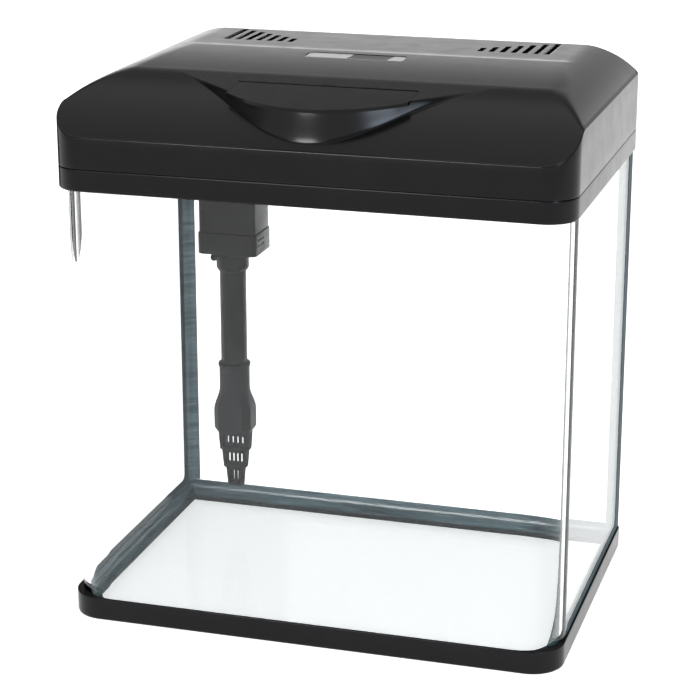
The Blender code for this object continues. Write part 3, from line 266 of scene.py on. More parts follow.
@dataclass(frozen=True)
class SealantBead:
    """Cured silicone: glossy and smoky, slightly wavy where a finger drew it, with lighter bands up its height
    painted in as highlight lines.
    """

    name: str = "silicone_bead"

    def build(self) -> bpy.types.Material:
        """Makes the material.

        Returns:
            The material.
        """
        graph = Graph(self.name)
        graph.fixed(Transmission_Weight=0.35, IOR=1.41, Roughness=0.16)
        # the colour wanders between dark and lighter teal in thin bands stacked up the height: a smoky tone,
        # with the lighter bands as painted highlight lines along the bead
        graph.tint(graph.noise(22.0, 4.0, (1, 1, 16)), (0.035, 0.08, 0.096), (0.17, 0.26, 0.285))
        graph.relief((graph.noise(70.0, 3.0), 0.5 * MM))
        return graph.material


@dataclass(frozen=True)
class WipedSealant:
    """A thin matt skin of sealant with drawn streaks, darker where it is thick."""

    name: str = "wiped_sealant"

    def build(self) -> bpy.types.Material:
        """Makes the material.

        Returns:
            The material.
        """
        graph = Graph(self.name)
        graph.fixed(IOR=1.06, Roughness=0.4)
        graph.tint(graph.noise(26.0, 3.0, (10, 6, 0.35)), (0.03, 0.058, 0.072), (0.085, 0.135, 0.155))
        graph.relief((graph.noise(70.0, 3.0), 0.2 * MM))
        return graph.material


@dataclass(frozen=True)
class Metal:
    """Turned or rolled metal with fine marks along one axis."""

    name: str
    colour: tuple[float, float, float]
    roughness: float
    marks: tuple[float, float, float] = (1, 1, 60)

    def build(self) -> bpy.types.Material:
        """Makes the material.

        Returns:
            The material.
        """
        graph = Graph(self.name)
        graph.fixed(Metallic=1.0)
        lines = graph.noise(90.0, 4.0, self.marks)
        graph.tint(lines, tuple(c * 0.85 for c in self.colour), self.colour)
        rough = graph.span(lines, self.roughness * 0.8, self.roughness * 1.2)
        graph.wire(rough, graph.shader.inputs["Roughness"])
        graph.relief((lines, 0.01 * MM))
        return graph.material


@dataclass(frozen=True)
class OpenFoam:
    """Open-cell filter foam, with painted shade darkening each pore."""

    name: str = "open_foam"

    def build(self) -> bpy.types.Material:
        """Makes the material.

        Returns:
            The material.
        """
        graph = Graph(self.name)
        cells = graph.node("TexVoronoi", Scale=520.0)
        graph.wire(graph.coordinates, cells.inputs["Vector"])
        # painted shade: the colour darkens towards each cell's centre, where the bump sinks the pore
        graph.tint(cells.outputs["Distance"], (0.015, 0.04, 0.1), (0.07, 0.17, 0.34))
        graph.fixed(Roughness=0.95, IOR=1.3)
        graph.relief((cells.outputs["Distance"], 0.7 * MM), (graph.noise(60.0), 0.4 * MM))
        return graph.material


@dataclass(frozen=True)
class Coating:
    """A smooth painted, printed or fired surface."""

    name: str
    colour: tuple[float, float, float]
    roughness: float
    fleck: float = 0.85

    def build(self) -> bpy.types.Material:
        """Makes the material.

        Returns:
            The material.
        """
        graph = Graph(self.name)
        fine = graph.noise(400.0, 4.0)
        graph.tint(fine, tuple(c * self.fleck for c in self.colour), self.colour)
        rough = graph.span(fine, self.roughness * 0.8, self.roughness * 1.25)
        graph.wire(rough, graph.shader.inputs["Roughness"])
        graph.relief((fine, 0.01 * MM))
        return graph.material


@dataclass(frozen=True)
class TwoToneFoil:
    """A bright foil with dark enamel bands that wander across it."""

    name: str = "badge_foil"
    silver: tuple[float, float, float] = (0.78, 0.79, 0.8)
    enamel: tuple[float, float, float] = (0.02, 0.02, 0.022)

    def build(self) -> bpy.types.Material:
        """Makes the material.

        Returns:
            The material.
        """
        graph = Graph(self.name)
        graph.fixed(Metallic=0.35, Roughness=0.3)
        bands = graph.node("TexWave", Scale=4.6, Distortion=3.0, Detail=1.0, wave_type="BANDS",
                           bands_direction="X")
        graph.wire(graph.coordinates, bands.inputs["Vector"])
        edge = graph.node("MapRange", interpolation_type="SMOOTHSTEP")
        edge.inputs["From Min"].default_value, edge.inputs["From Max"].default_value = 0.4, 0.46
        graph.wire(bands.outputs["Fac"], edge.inputs["Value"])
        graph.tint(edge.outputs["Result"], self.enamel, self.silver)
        graph.relief((edge.outputs["Result"], 0.05 * MM))
        return graph.material


@dataclass(frozen=True)
class ClearLens:
    """Prismatic clear plastic over the lamps."""

    name: str = "prismatic_lens"

    def build(self) -> bpy.types.Material:
        """Makes the material.

        Returns:
            The material.
        """
        graph = Graph(self.name)
        graph.fixed(Base_Color=(0.96, 0.97, 0.98, 1), Transmission_Weight=0.9, IOR=1.49, Roughness=0.12)
        ribs = graph.node("TexWave", Scale=400.0, wave_type="BANDS", bands_direction="X")
        graph.wire(graph.coordinates, ribs.inputs["Vector"])
        graph.relief((ribs.outputs["Fac"], 0.15 * MM))
        return graph.material


class Finishes:
    """Every finish of the object, made once and looked up by slot."""

    def __init__(self) -> None:
        """Makes the materials."""
        self.made: dict[Slot, bpy.types.Material] = {
            Slot.BLACK: MouldedPlastic(
                "satin_black", (0.0072, 0.0072, 0.0082), (0.0088, 0.0088, 0.0098)).build(),
            Slot.GREY: MouldedPlastic(
                "charcoal", (0.012, 0.013, 0.014), (0.018, 0.0195, 0.021), 0.42).build(),
            Slot.GLASS: ClearGlass().build(),
            Slot.SEALANT: SealantBead().build(),
            Slot.STEEL: Metal("turned_steel", (0.62, 0.62, 0.63), 0.28).build(),
            Slot.CERAMIC: Coating("fired_ceramic", (0.86, 0.85, 0.8), 0.22, fleck=0.95).build(),
            Slot.MAGNET: Coating("magnet_coat", (0.03, 0.03, 0.034), 0.45).build(),
            Slot.IRON: Metal("core_iron", (0.32, 0.32, 0.34), 0.45, (1, 1, 900)).build(),
            Slot.SPONGE: OpenFoam().build(),
            Slot.BOARD: Coating("solder_mask", (0.86, 0.87, 0.86), 0.4, fleck=0.97).build(),
            Slot.LENS: ClearLens().build(),
            Slot.RUBBER: MouldedPlastic(
                "bushing_rubber", (0.02, 0.02, 0.02), (0.03, 0.03, 0.03), 0.7).build(),
            Slot.BADGE: TwoToneFoil().build(),
        }

    def of(self, slot: Slot) -> bpy.types.Material:
        """The material of a slot."""
        return self.made[slot]


# ---------------------------------------------------------------- mesh tools

def grid_quads(rows: int, columns: int, around: bool = False, start: int = 0) -> Array:
    """Quads between neighbouring points of a grid stored row by row.

    Args:
        rows: points along the first parameter.
        columns: points along the second parameter.
        around: whether the last column joins the first.
        start: index of the grid's first point.

    Returns:
        An array of four indices a quad.
    """
    i, j = np.meshgrid(np.arange(rows - 1), np.arange(columns if around else columns - 1), indexing="ij")
    k = (j + 1) % columns
    quads = np.stack([i * columns + j, i * columns + k, (i + 1) * columns + k, (i + 1) * columns + j], -1)
    return quads.reshape(-1, 4) + start


def mesh_from(name: str, points: Array, faces: list[list[int]]) -> bpy.types.Mesh:
    """A mesh whose doubles are merged and whose faces point outwards.

    Args:
        name: the mesh's name.
        points: vertices, one a row.
        faces: vertex indices of each face.

    Returns:
        The mesh.
    """
    mesh = bpy.data.meshes.new(name)
    mesh.from_pydata(points.tolist(), [], faces)
    shape = bmesh.new()
    shape.from_mesh(mesh)
    bmesh.ops.remove_doubles(shape, verts=shape.verts, dist=WELD)
    bmesh.ops.recalc_face_normals(shape, faces=shape.faces)
    shape.to_mesh(mesh)
    shape.free()
    return mesh


def loft_mesh(name: str, rings: Array) -> bpy.types.Mesh:
    """A closed mesh through rings of equal length, capped at both ends.

    Args:
        name: the mesh's name.
        rings: an array of rings, points and coordinates.

    Returns:
        The mesh.
    """
    rows, columns = rings.shape[:2]
    faces = grid_quads(rows, columns, around=True).tolist()
    faces.append(list(range(columns)))
    faces.append(list(range((rows - 1) * columns, rows * columns)))
    return mesh_from(name, rings.reshape(-1, 3), faces)


def corner_arcs(centres: list[Array], radii: list[float], steps: int) -> Array:
    """Four quarter circles, anticlockwise from the right rear, whose ends straight sides join.

    Args:
        centres: the arcs' centres in plan.
        radii: the arcs' radii.
        steps: parts of each arc.

    Returns:
        Plan points.
    """
    turn = np.linspace(0, np.pi / 2, steps + 1)
    arcs = []
    for quarter, (centre, radius) in enumerate(zip(centres, radii)):
        angle = turn + quarter * np.pi / 2
        arcs.append(centre + radius * np.column_stack([np.cos(angle), np.sin(angle)]))
    return np.vstack(arcs)


def prism(name: str, outline: Array, low: float, high: float) -> bpy.types.Mesh:
    """A closed upright prism over a plan outline."""
    flat = [np.column_stack([outline, np.full(len(outline), z)]) for z in (low, high)]
    return loft_mesh(name, np.array(flat))


def helper(mesh: bpy.types.Mesh) -> bpy.types.Object:
    """A throwaway object for a Boolean.

    Args:
        mesh: a closed mesh.

    Returns:
        The linked object.
    """
    made = bpy.data.objects.new(mesh.name, mesh)
    bpy.context.scene.collection.objects.link(made)
    return made


def combined(base: bpy.types.Mesh, *steps: tuple[str, bpy.types.Mesh]) -> bpy.types.Mesh:
    """Joins, cuts or intersects closed meshes one after the other.

    Args:
        base: the first mesh.
        steps: pairs of an operation and a mesh.

    Returns:
        The resulting mesh.
    """
    target = helper(base)
    tools = []
    for number, (operation, mesh) in enumerate(steps):
        tool = helper(mesh)
        tools.append(tool)
        step = target.modifiers.new(f"step_{number}", "BOOLEAN")
        step.operation = operation
        step.object = tool
        step.solver = "MANIFOLD"
    bpy.context.view_layer.update()
    graph = bpy.context.evaluated_depsgraph_get()
    result = bpy.data.meshes.new_from_object(target.evaluated_get(graph))
    for used in (target, *tools):
        bpy.data.objects.remove(used)
    return result


def soften(mesh: bpy.types.Mesh, degrees: float) -> bpy.types.Mesh:
    """Smooth shading, with edges sharper than the angle kept.

    Args:
        mesh: the mesh, which is changed.
        degrees: the angle above which an edge stays sharp.

    Returns:
        The same mesh.
    """
    mesh.shade_smooth()
    mesh.set_sharp_from_angle(angle=math.radians(degrees))
    return mesh


@dataclass
class Builder:
    """Places finished pieces: each rides on a body, takes a slot and may stand for CAD nodes."""

    finishes: Finishes
    nodes: dict[str, bpy.types.Object]

    def piece(self, name: str, mesh: bpy.types.Mesh, body: Body, slot: Slot, replaces: tuple[str, ...] = (),
              degrees: float = 32.0) -> bpy.types.Object:
        """Adds a new piece.

        Args:
            name: the piece's name.
            mesh: its finished mesh, in the part's frame.
            body: the body it rides on.
            slot: the finish it takes.
            replaces: CAD nodes it stands for.
            degrees: edges above this angle stay sharp.

        Returns:
            The new object.
        """
        mesh.materials.clear()
        mesh.materials.append(self.finishes.of(slot))
        made = bpy.data.objects.new(name, soften(mesh, degrees))
        bpy.context.scene.collection.objects.link(made)
        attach(made, body.value)
        if replaces:
            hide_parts(*replaces)
        LOG.info("%s: %d faces on %s", name, len(mesh.polygons), body.value)
        return made

    def merged(self, node: str) -> bpy.types.Mesh:
        """A copy of a CAD node's mesh with its loose triangles joined.

        Args:
            node: the CAD node.

        Returns:
            The new mesh.
        """
        mesh = self.nodes[node].data.copy()
        shape = bmesh.new()
        shape.from_mesh(mesh)
        bmesh.ops.remove_doubles(shape, verts=shape.verts, dist=WELD)
        bmesh.ops.dissolve_limit(shape, angle_limit=math.radians(0.5), verts=shape.verts, edges=shape.edges)
        shape.to_mesh(mesh)
        shape.free()
        return mesh

    def refine(self, node: str, body: Body, slot: Slot, edge: float = 0.3 * MM, degrees: float = 32.0,
               segments: int = 2) -> bpy.types.Object:
        """Stands a softened copy in for a CAD node, with its hard edges rounded.

        Args:
            node: the CAD node.
            body: the body it rides on.
            slot: the finish it takes.
            edge: the edge radius.
            degrees: edges above this angle are rounded.
            segments: faces across a rounded edge.

        Returns:
            The new object.
        """
        made = self.piece(f"{node}_moulding", self.merged(node), body, slot, (node,), degrees)
        if edge > 0:
            step = made.modifiers.new("edge", "BEVEL")
            step.width = edge
            step.segments = segments
            step.limit_method = "ANGLE"
            step.angle_limit = math.radians(degrees)
            step.harden_normals = True
        return made

    def dress(self, node: str, slot: Slot) -> None:
        """Gives a CAD node that stays its finish.

        Args:
            node: the CAD node.
            slot: the finish it takes.
        """
        target = self.nodes[node]
        target.data.materials.clear()
        target.data.materials.append(self.finishes.of(slot))


# ---------------------------------------------------------------- skins

@dataclass
class Skin:
    """A thin moulded wall round a rounded rectangle, with its edges turned over."""

    half_x: float
    half_y: float
    low_z: float
    high_z: float
    front_radius: float
    rear_radius: float
    wall: float = 1.15 * MM
    top_edge: float = 0.8 * MM
    low_edge: float = 1.2 * MM
    least_bend: float = 0.2 * MM
    steps: int = 24

    def plan(self, inset: float) -> Array:
        """The outline at an inset: four quarter circles joined by straight sides.

        Args:
            inset: how far inside the outside it runs.

        Returns:
            Plan points, anticlockwise from the right.
        """
        centres, bends = [], []
        for sx, sy in CORNERS:
            radius = self.rear_radius if sy > 0 else self.front_radius
            bend = max(radius - inset, self.least_bend)
            centres.append(np.array([sx * (self.half_x - inset - bend), sy * (self.half_y - inset - bend)]))
            bends.append(bend)
        return corner_arcs(centres, bends, self.steps)

    def section(self) -> Array:
        """The wall's section as inset and height: straight sides with quarter-round outer edges.

        Returns:
            Pairs of inset and height.
        """
        turn = np.linspace(0, np.pi / 2, 7)
        top, low = self.top_edge, self.low_edge
        upper = np.column_stack([top * (1 - np.cos(turn)), self.high_z - top * (1 - np.sin(turn))])
        lower = np.column_stack([low * (1 - np.sin(turn)), self.low_z + low * (1 - np.cos(turn))])
        inner = np.array([[self.wall, self.high_z], [self.wall, self.low_z]])
        middle = np.linspace(self.low_z + low, self.high_z - top, 6)[1:-1]
        return np.vstack([upper, inner, lower, np.column_stack([np.zeros(4), middle])])

    def mesh(self, name: str) -> bpy.types.Mesh:
        """The section carried round the outline, one ring for each of its points.

        Args:
            name: the mesh's name.

        Returns:
            The closed mesh.
        """
        rings = []
        for inset, z in self.section():
            plan = self.plan(inset)
            rings.append(np.column_stack([plan, np.full(len(plan), z)]))
        grid = np.array(rings + rings[:1])
        faces = grid_quads(*grid.shape[:2], around=True).tolist()
        return mesh_from(name, grid.reshape(-1, 3), faces)

    def over(self, core: bpy.types.Mesh) -> bpy.types.Mesh:
        """The skin joined to what lies inside half its wall.

        Args:
            core: the CAD piece's mesh.

        Returns:
            The joined mesh.
        """
        trim = prism("skin_trim", self.plan(self.wall / 2), self.low_z - 20 * MM, self.high_z + 20 * MM)
        return combined(core, ("INTERSECT", trim), ("UNION", self.mesh("skin")))


# ---------------------------------------------------------------- tank

@dataclass
class Tank:
    """The base, the panes and their sealant."""

    builder: Builder
    bend_radius: float = 33 * MM
    arris: float = 0.5 * MM
    glass: float = 5 * MM
    steps: int = 40
    front_bead: float = 0.45
    bead_width: float = 8.5 * MM
    bond_fillet: float = 5 * MM
    bond_width: float = 16 * MM
    bond_foot: float = 6.2 * MM
    bond_skin_t: float = 0.25 * MM
    bond_skin: bpy.types.Material = field(init=False)

    def __post_init__(self) -> None:
        """Makes the wiped sealant's finish."""
        self.bond_skin = WipedSealant().build()

    def pane_path(self, half_x: float, front: float, rear: float) -> tuple[Array, Array]:
        """Centre line of the bent pane's outer face in plan, with its outward normals.

        The line runs up the right side, round two quarter circles and down the left side.

        Args:
            half_x: half the width.
            front: front face's y.
            rear: the ends' y.

        Returns:
            Points and unit normals.
        """
        r = self.bend_radius
        turn = np.linspace(0, np.pi / 2, self.steps + 1)
        right = np.column_stack([half_x - r + r * np.cos(turn), front + r - r * np.sin(turn)])
        points = np.vstack([[half_x, rear], right, (right * [-1, 1])[::-1], [-half_x, rear]])
        normal = np.column_stack([np.cos(turn), -np.sin(turn)])
        normals = np.vstack([[1, 0], normal, (normal * [-1, 1])[::-1], [-1, 0]])
        return points, normals

    def bent_pane(self) -> bpy.types.Mesh:
        """The bent pane: an arrised rectangle carried along the path, one ring a station.

        Returns:
            The closed mesh.
        """
        low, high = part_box("bent_glass")
        path, normals = self.pane_path(high.x, low.y, high.y - 0.1 * MM)
        a, t = self.arris, self.glass
        section = np.array([[0, low.z + a], [-a, low.z], [a - t, low.z], [-t, low.z + a],
                            [-t, high.z - a], [a - t, high.z], [-a, high.z], [0, high.z - a]])
        rings = np.zeros((len(path), len(section), 3))
        rings[:, :, :2] = path[:, None, :] + section[None, :, 0, None] * normals[:, None, :]
        rings[:, :, 2] = section[None, :, 1]
        return loft_mesh("bent_pane", rings)

    def bond(self, sign: int) -> bpy.types.Mesh:
        """A wiped skin of sealant on a side pane: up its rear edge and along its foot.

        Args:
            sign: -1 for the left pane, 1 for the right.

        Returns:
            The closed L-shaped mesh.
        """
        low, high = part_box("bent_glass")
        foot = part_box("base_frame")[1].z + 0.4 * MM
        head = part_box("hood_rim")[0].z - 0.8 * MM
        front, rear = low.y + self.bend_radius, high.y
        inner = rear - self.bond_width
        corner = foot + self.bond_foot
        turn = np.linspace(0, np.pi / 2, 7)
        r = self.bond_fillet
        fillet = np.column_stack([inner - r + r * np.cos(turn), corner + r - r * np.sin(turn)])
        face = np.vstack([[rear, foot], [rear, head], [inner, head], fillet, [front + 9 * MM, corner],
                          [front, foot + 1 * MM], [front, foot]])
        x = sign * high.x
        faces = (-0.05 * MM, self.bond_skin_t)
        rings = [np.column_stack([np.full(len(face), x + sign * out), face]) for out in faces]
        return loft_mesh("pane_bond", np.array(rings))

    def bead(self, steps: int = 8) -> bpy.types.Mesh:
        """The floor sealant: a concave quarter-round carried round inside the panes, low at the front.

        Args:
            steps: parts of the quarter-round.

        Returns:
            The closed mesh.
        """
        low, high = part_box("floor_sealant")
        r, width, height = self.bend_radius - self.glass - 0.3 * MM, self.bead_width, high.z - low.z
        turn = np.linspace(0, np.pi / 2, steps + 1)
        arc = np.column_stack([width * (1 - np.sin(turn)), height * (1 - np.cos(turn))])
        section = np.vstack([[0, 0], arc])
        tight = 1.2 * MM
        corners = [(high.x, high.y, tight), (low.x, high.y, tight), (low.x, low.y, r), (high.x, low.y, r)]
        rings = []
        for inset, rise in section:
            bends = [max(radius - inset, 0.3 * MM) for _, _, radius in corners]
            centres = [np.array([x, y]) - np.sign([x, y]) * (bend + inset)
                       for (x, y, _), bend in zip(corners, bends)]
            plan = corner_arcs(centres, bends, 12)
            front = np.clip((plan[:, 1] - low.y) / (r - 4 * MM), 0, 1)
            share = self.front_bead + (1 - self.front_bead) * front
            rings.append(np.column_stack([plan, low.z + rise * share]))
        grid = np.array(rings + rings[:1])
        return mesh_from("floor_bead", grid.reshape(-1, 3), grid_quads(*grid.shape[:2], around=True).tolist())

    def build(self) -> None:
        """Builds and dresses the tank."""
        make = self.builder
        low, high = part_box("base_frame")
        skin = Skin(high.x, high.y, low.z, high.z, 25 * MM, 5.5 * MM, 1.1 * MM, 0.6 * MM, 1.6 * MM)
        base = skin.over(make.merged("base_frame"))
        make.piece("base_moulding", base, Body.TANK, Slot.BLACK, ("base_frame",), 40)
        make.piece("bent_pane", self.bent_pane(), Body.TANK, Slot.GLASS, ("bent_glass",), 25)
        for side, sign in (("left", -1), ("right", 1)):
            bond = make.piece(f"pane_bond_{side}", self.bond(sign), Body.TANK, Slot.SEALANT, degrees=40)
            bond.data.materials[0] = self.bond_skin
        make.refine("rear_glass", Body.TANK, Slot.GLASS, 0.4 * MM)
        make.refine("floor_glass", Body.TANK, Slot.GLASS, 0.4 * MM, segments=1)
        make.piece("floor_bead", self.bead(), Body.TANK, Slot.SEALANT, ("floor_sealant",), 50)
        for side in ("left", "right"):
            make.refine(f"corner_sealant_{side}", Body.TANK, Slot.SEALANT, 0.0)


# ---------------------------------------------------------------- lid

@dataclass
class LidForm:
    """The lid's outside as a height over the plan, with the visor's step along its bowed edge."""

    half_x: float
    half_y: float
    low_z: float
    top_z: float
    front_radius: float = 23 * MM
    rear_radius: float = 6 * MM
    deck_slope: float = math.radians(2.0)
    crease_y: float = 45 * MM
    arc_start_y: float = -41 * MM
    arc_radius: float = 135.5 * MM
    side_flat: float = 141 * MM
    side_radius: float = 70 * MM
    ridge: float = 0.6 * MM
    ridge_rear: float = 4.2 * MM
    deck_length: float = 86 * MM
    deck_lead: float = 0.3
    hip: float = 3 * MM
    bow: float = 6.6
    bow_half: float = 60 * MM
    visor_front: float = -125.32 * MM
    visor_start: float = -50 * MM
    wall_run: float = 4.2 * MM
    wall_sway: float = 0.16
    step_margin: float = 0.2 * MM
    deck_end: float = -44 * MM
    crease_band: float = 4 * MM

    def front_drop(self, y: Array) -> Array:
        """Drop of the front face below the top: nothing, a shallow deck after a crease, then an arc.

        Args:
            y: places from front to rear.

        Returns:
            The drops.
        """
        slope = math.tan(self.deck_slope)
        run = self.crease_y - y
        ahead = np.maximum(run, 0)
        deck = slope * ahead * (self.deck_lead + (1 - self.deck_lead) * ahead / self.deck_length)
        deck = deck + self.ridge * (1 - np.exp(-(np.minimum(run, 0) / self.ridge_rear) ** 2))
        start = slope * (self.crease_y - self.arc_start_y)
        centre_y = self.arc_start_y + self.arc_radius * math.sin(self.deck_slope)
        below = self.arc_radius * math.cos(self.deck_slope)
        arc = start + below - np.sqrt(np.maximum(self.arc_radius ** 2 - (y - centre_y) ** 2, 0))
        return np.where(y < self.arc_start_y, arc, deck)

    def side_drop(self, x: Array) -> Array:
        """Drop of the side face below the top: nothing, then an arc down to the wall."""
        run = np.maximum(np.abs(x) - self.side_flat, 0)
        return self.side_radius - np.sqrt(self.side_radius ** 2 - run ** 2)

    def body_drop(self, x: Array, y: Array) -> Array:
        """The larger of the front and side drops, with their meeting rounded.

        Args:
            x: places across.
            y: places from front to rear.

        Returns:
            The drops.
        """
        a, b = self.front_drop(y), self.side_drop(x)
        blend = np.maximum(np.minimum(self.hip, (a + b) / 2), 0.001 * MM)
        overlap = np.maximum(0, 1 - np.abs(a - b) / blend)
        return np.maximum(a, b) + blend * overlap ** 2 / 4

    def edge_y(self, x: Array) -> Array:
        """The visor's front edge in plan: a bow at the middle with straight tails.

        Args:
            x: places across.

        Returns:
            The edge's y at each.
        """
        inner = np.minimum(np.abs(x), self.bow_half)
        edge = self.visor_front + self.bow * inner ** 2 + 2 * self.bow * self.bow_half * (np.abs(x) - inner)
        return np.minimum(edge, self.visor_start)

    def visor_drop(self, y: Array) -> Array:
        """Drop of the visor's top, a plane that leaves the front arc along its tangent.

        Args:
            y: places from front to rear.

        Returns:
            The drops.
        """
        centre_y = self.arc_start_y + self.arc_radius * math.sin(self.deck_slope)
        slope = math.tan(math.asin((centre_y - self.visor_start) / self.arc_radius))
        return self.front_drop(np.array(self.visor_start)) + slope * (self.visor_start - y)

    def height(self, x: Array, y: Array) -> Array:
        """Height of the outside: the visor behind its edge, the body before it, and a short rise between.

        Args:
            x: places across.
            y: places from front to rear.

        Returns:
            The heights.
        """
        body = self.body_drop(x, y)
        visor = np.minimum(self.visor_drop(y), body)
        share = np.clip((y - self.edge_y(x)) / self.wall_run, 0, 1)
        rise = np.clip(share - self.wall_sway * np.sin(2 * np.pi * share), 0, 1)
        return self.top_z - np.where(y < self.visor_start, body + (visor - body) * rise, body)

    def half_width(self, y: Array) -> Array:
        """Half the outline's width at y: square but for round front and rear corners.

        Args:
            y: places from front to rear.

        Returns:
            The half widths.
        """
        front = np.maximum(-self.half_y + self.front_radius - y, 0)
        rear = np.maximum(y - self.half_y + self.rear_radius, 0)
        cut_front = self.front_radius - np.sqrt(np.maximum(self.front_radius ** 2 - front ** 2, 0))
        cut_rear = self.rear_radius - np.sqrt(np.maximum(self.rear_radius ** 2 - rear ** 2, 0))
        return self.half_x - cut_front - cut_rear

    def solid(self, name: str, inset: float, columns: int, rows: tuple[int, ...], edge: float,
              foot: float = 0.0) -> bpy.types.Mesh:
        """The closed form under the outside, or inside it at a depth.

        Rows of the grid follow the visor's edge, so its step is crisp; the boundary turns down over a quarter
        round into an upright wall.

        Args:
            name: the mesh's name.
            inset: how far inside the outside it lies.
            columns: points across.
            rows: rows before the edge, up its step, behind it, over the deck and over the flat rear.
            edge: radius of the top edge.
            foot: radius of the lower edge.

        Returns:
            The closed mesh.
        """
        shrink = inset + edge
        hx, hy = self.half_x - shrink, self.half_y - shrink
        u = np.linspace(-1, 1, columns)
        x0 = u * hx
        edge_y = self.edge_y(x0)
        step_low = np.maximum(edge_y - self.step_margin, -hy + 0.3 * MM)
        step_high = np.minimum(edge_y + self.wall_run + self.step_margin, self.visor_start + self.wall_run)
        front, deck, crease, rear, back = (np.full(columns, y) for y in (
            -hy, self.deck_end, self.crease_y - self.crease_band, self.crease_y + self.crease_band, hy))
        bands = [(front, step_low, 2.0), (step_low, step_high, 1.0), (step_high, deck, 1.0),
                 (deck, crease, 1.0), (crease, rear, 1.0), (rear, back, 0.5)]
        lines = []
        for count, (low, high, power) in zip(rows, bands):
            share = np.linspace(0, 1, count + 1)[:-1] ** power
            if power < 1:
                share = 1 - (1 - np.linspace(0, 1, count + 1)) ** 2
            lines.append(low + share[:, None] * (high - low))
        y = np.vstack(lines)
        plan = LidForm(hx, hy, self.low_z, self.top_z, max(self.front_radius - shrink, MM),
                       max(self.rear_radius - shrink, 0.3 * MM))
        x = plan.half_width(y) * u[None, :]
        z = self.height(x, y) - inset
        top = np.stack([x, y, z], -1)
        count_rows = len(y)
        loop = np.concatenate([np.arange(columns), np.arange(1, count_rows) * columns + columns - 1,
                               (count_rows - 1) * columns + np.arange(columns - 2, -1, -1),
                               np.arange(count_rows - 2, 0, -1) * columns])
        border = top.reshape(-1, 3)[loop]
        normal = self.outward(border, hx, hy, plan.front_radius, plan.rear_radius)
        turn = np.linspace(0, np.pi / 2, 6)[1:]
        skirts = []
        for angle in turn:
            ring = border.copy()
            ring[:, :2] += normal * edge * np.sin(angle)
            ring[:, 2] -= edge * (1 - np.cos(angle))
            skirts.append(ring)
        brim = skirts[-1]
        for share in (0.25, 0.5, 0.75, 1.0):
            ring = brim.copy()
            ring[:, 2] += (self.low_z + foot - ring[:, 2]) * share
            skirts.append(ring)
        wall = skirts[-1]
        for angle in turn if foot else ():
            ring = wall.copy()
            ring[:, :2] -= normal * foot * (1 - np.cos(angle))
            ring[:, 2] = self.low_z + foot * (1 - np.sin(angle))
            skirts.append(ring)
        size, count = count_rows * columns, len(loop)
        points = np.vstack([top.reshape(-1, 3), *skirts])
        faces = grid_quads(count_rows, columns).tolist()
        first = np.concatenate([loop, size + np.arange(count * (len(skirts) - 1))]).reshape(-1, count)
        second = size + np.arange(count * len(skirts)).reshape(-1, count)
        quads = np.stack([first, np.roll(first, -1, 1), np.roll(second, -1, 1), second], -1)
        faces += quads.reshape(-1, 4).tolist()
        faces.append((size + count * (len(skirts) - 1) + np.arange(count)).tolist())
        return mesh_from(name, points, faces)

    @staticmethod
    def outward(border: Array, hx: float, hy: float, front: float, rear: float) -> Array:
        """Outward plan normals of an outline: along an axis on the sides, from the centre in the corners.

        Args:
            border: the outline's points.
            hx: half width.
            hy: half depth.
            front: front corner radius.
            rear: rear corner radius.

        Returns:
            Unit vectors, one a point.
        """
        radius = np.where(border[:, 1] < 0, front, rear)
        dx = np.maximum(np.abs(border[:, 0]) - (hx - radius), 0) * np.sign(border[:, 0])
        dy = np.maximum(np.abs(border[:, 1]) - (hy - radius), 0) * np.sign(border[:, 1])
        away = np.column_stack([dx, dy])
        return away / np.maximum(np.linalg.norm(away, axis=1, keepdims=True), 1e-9)


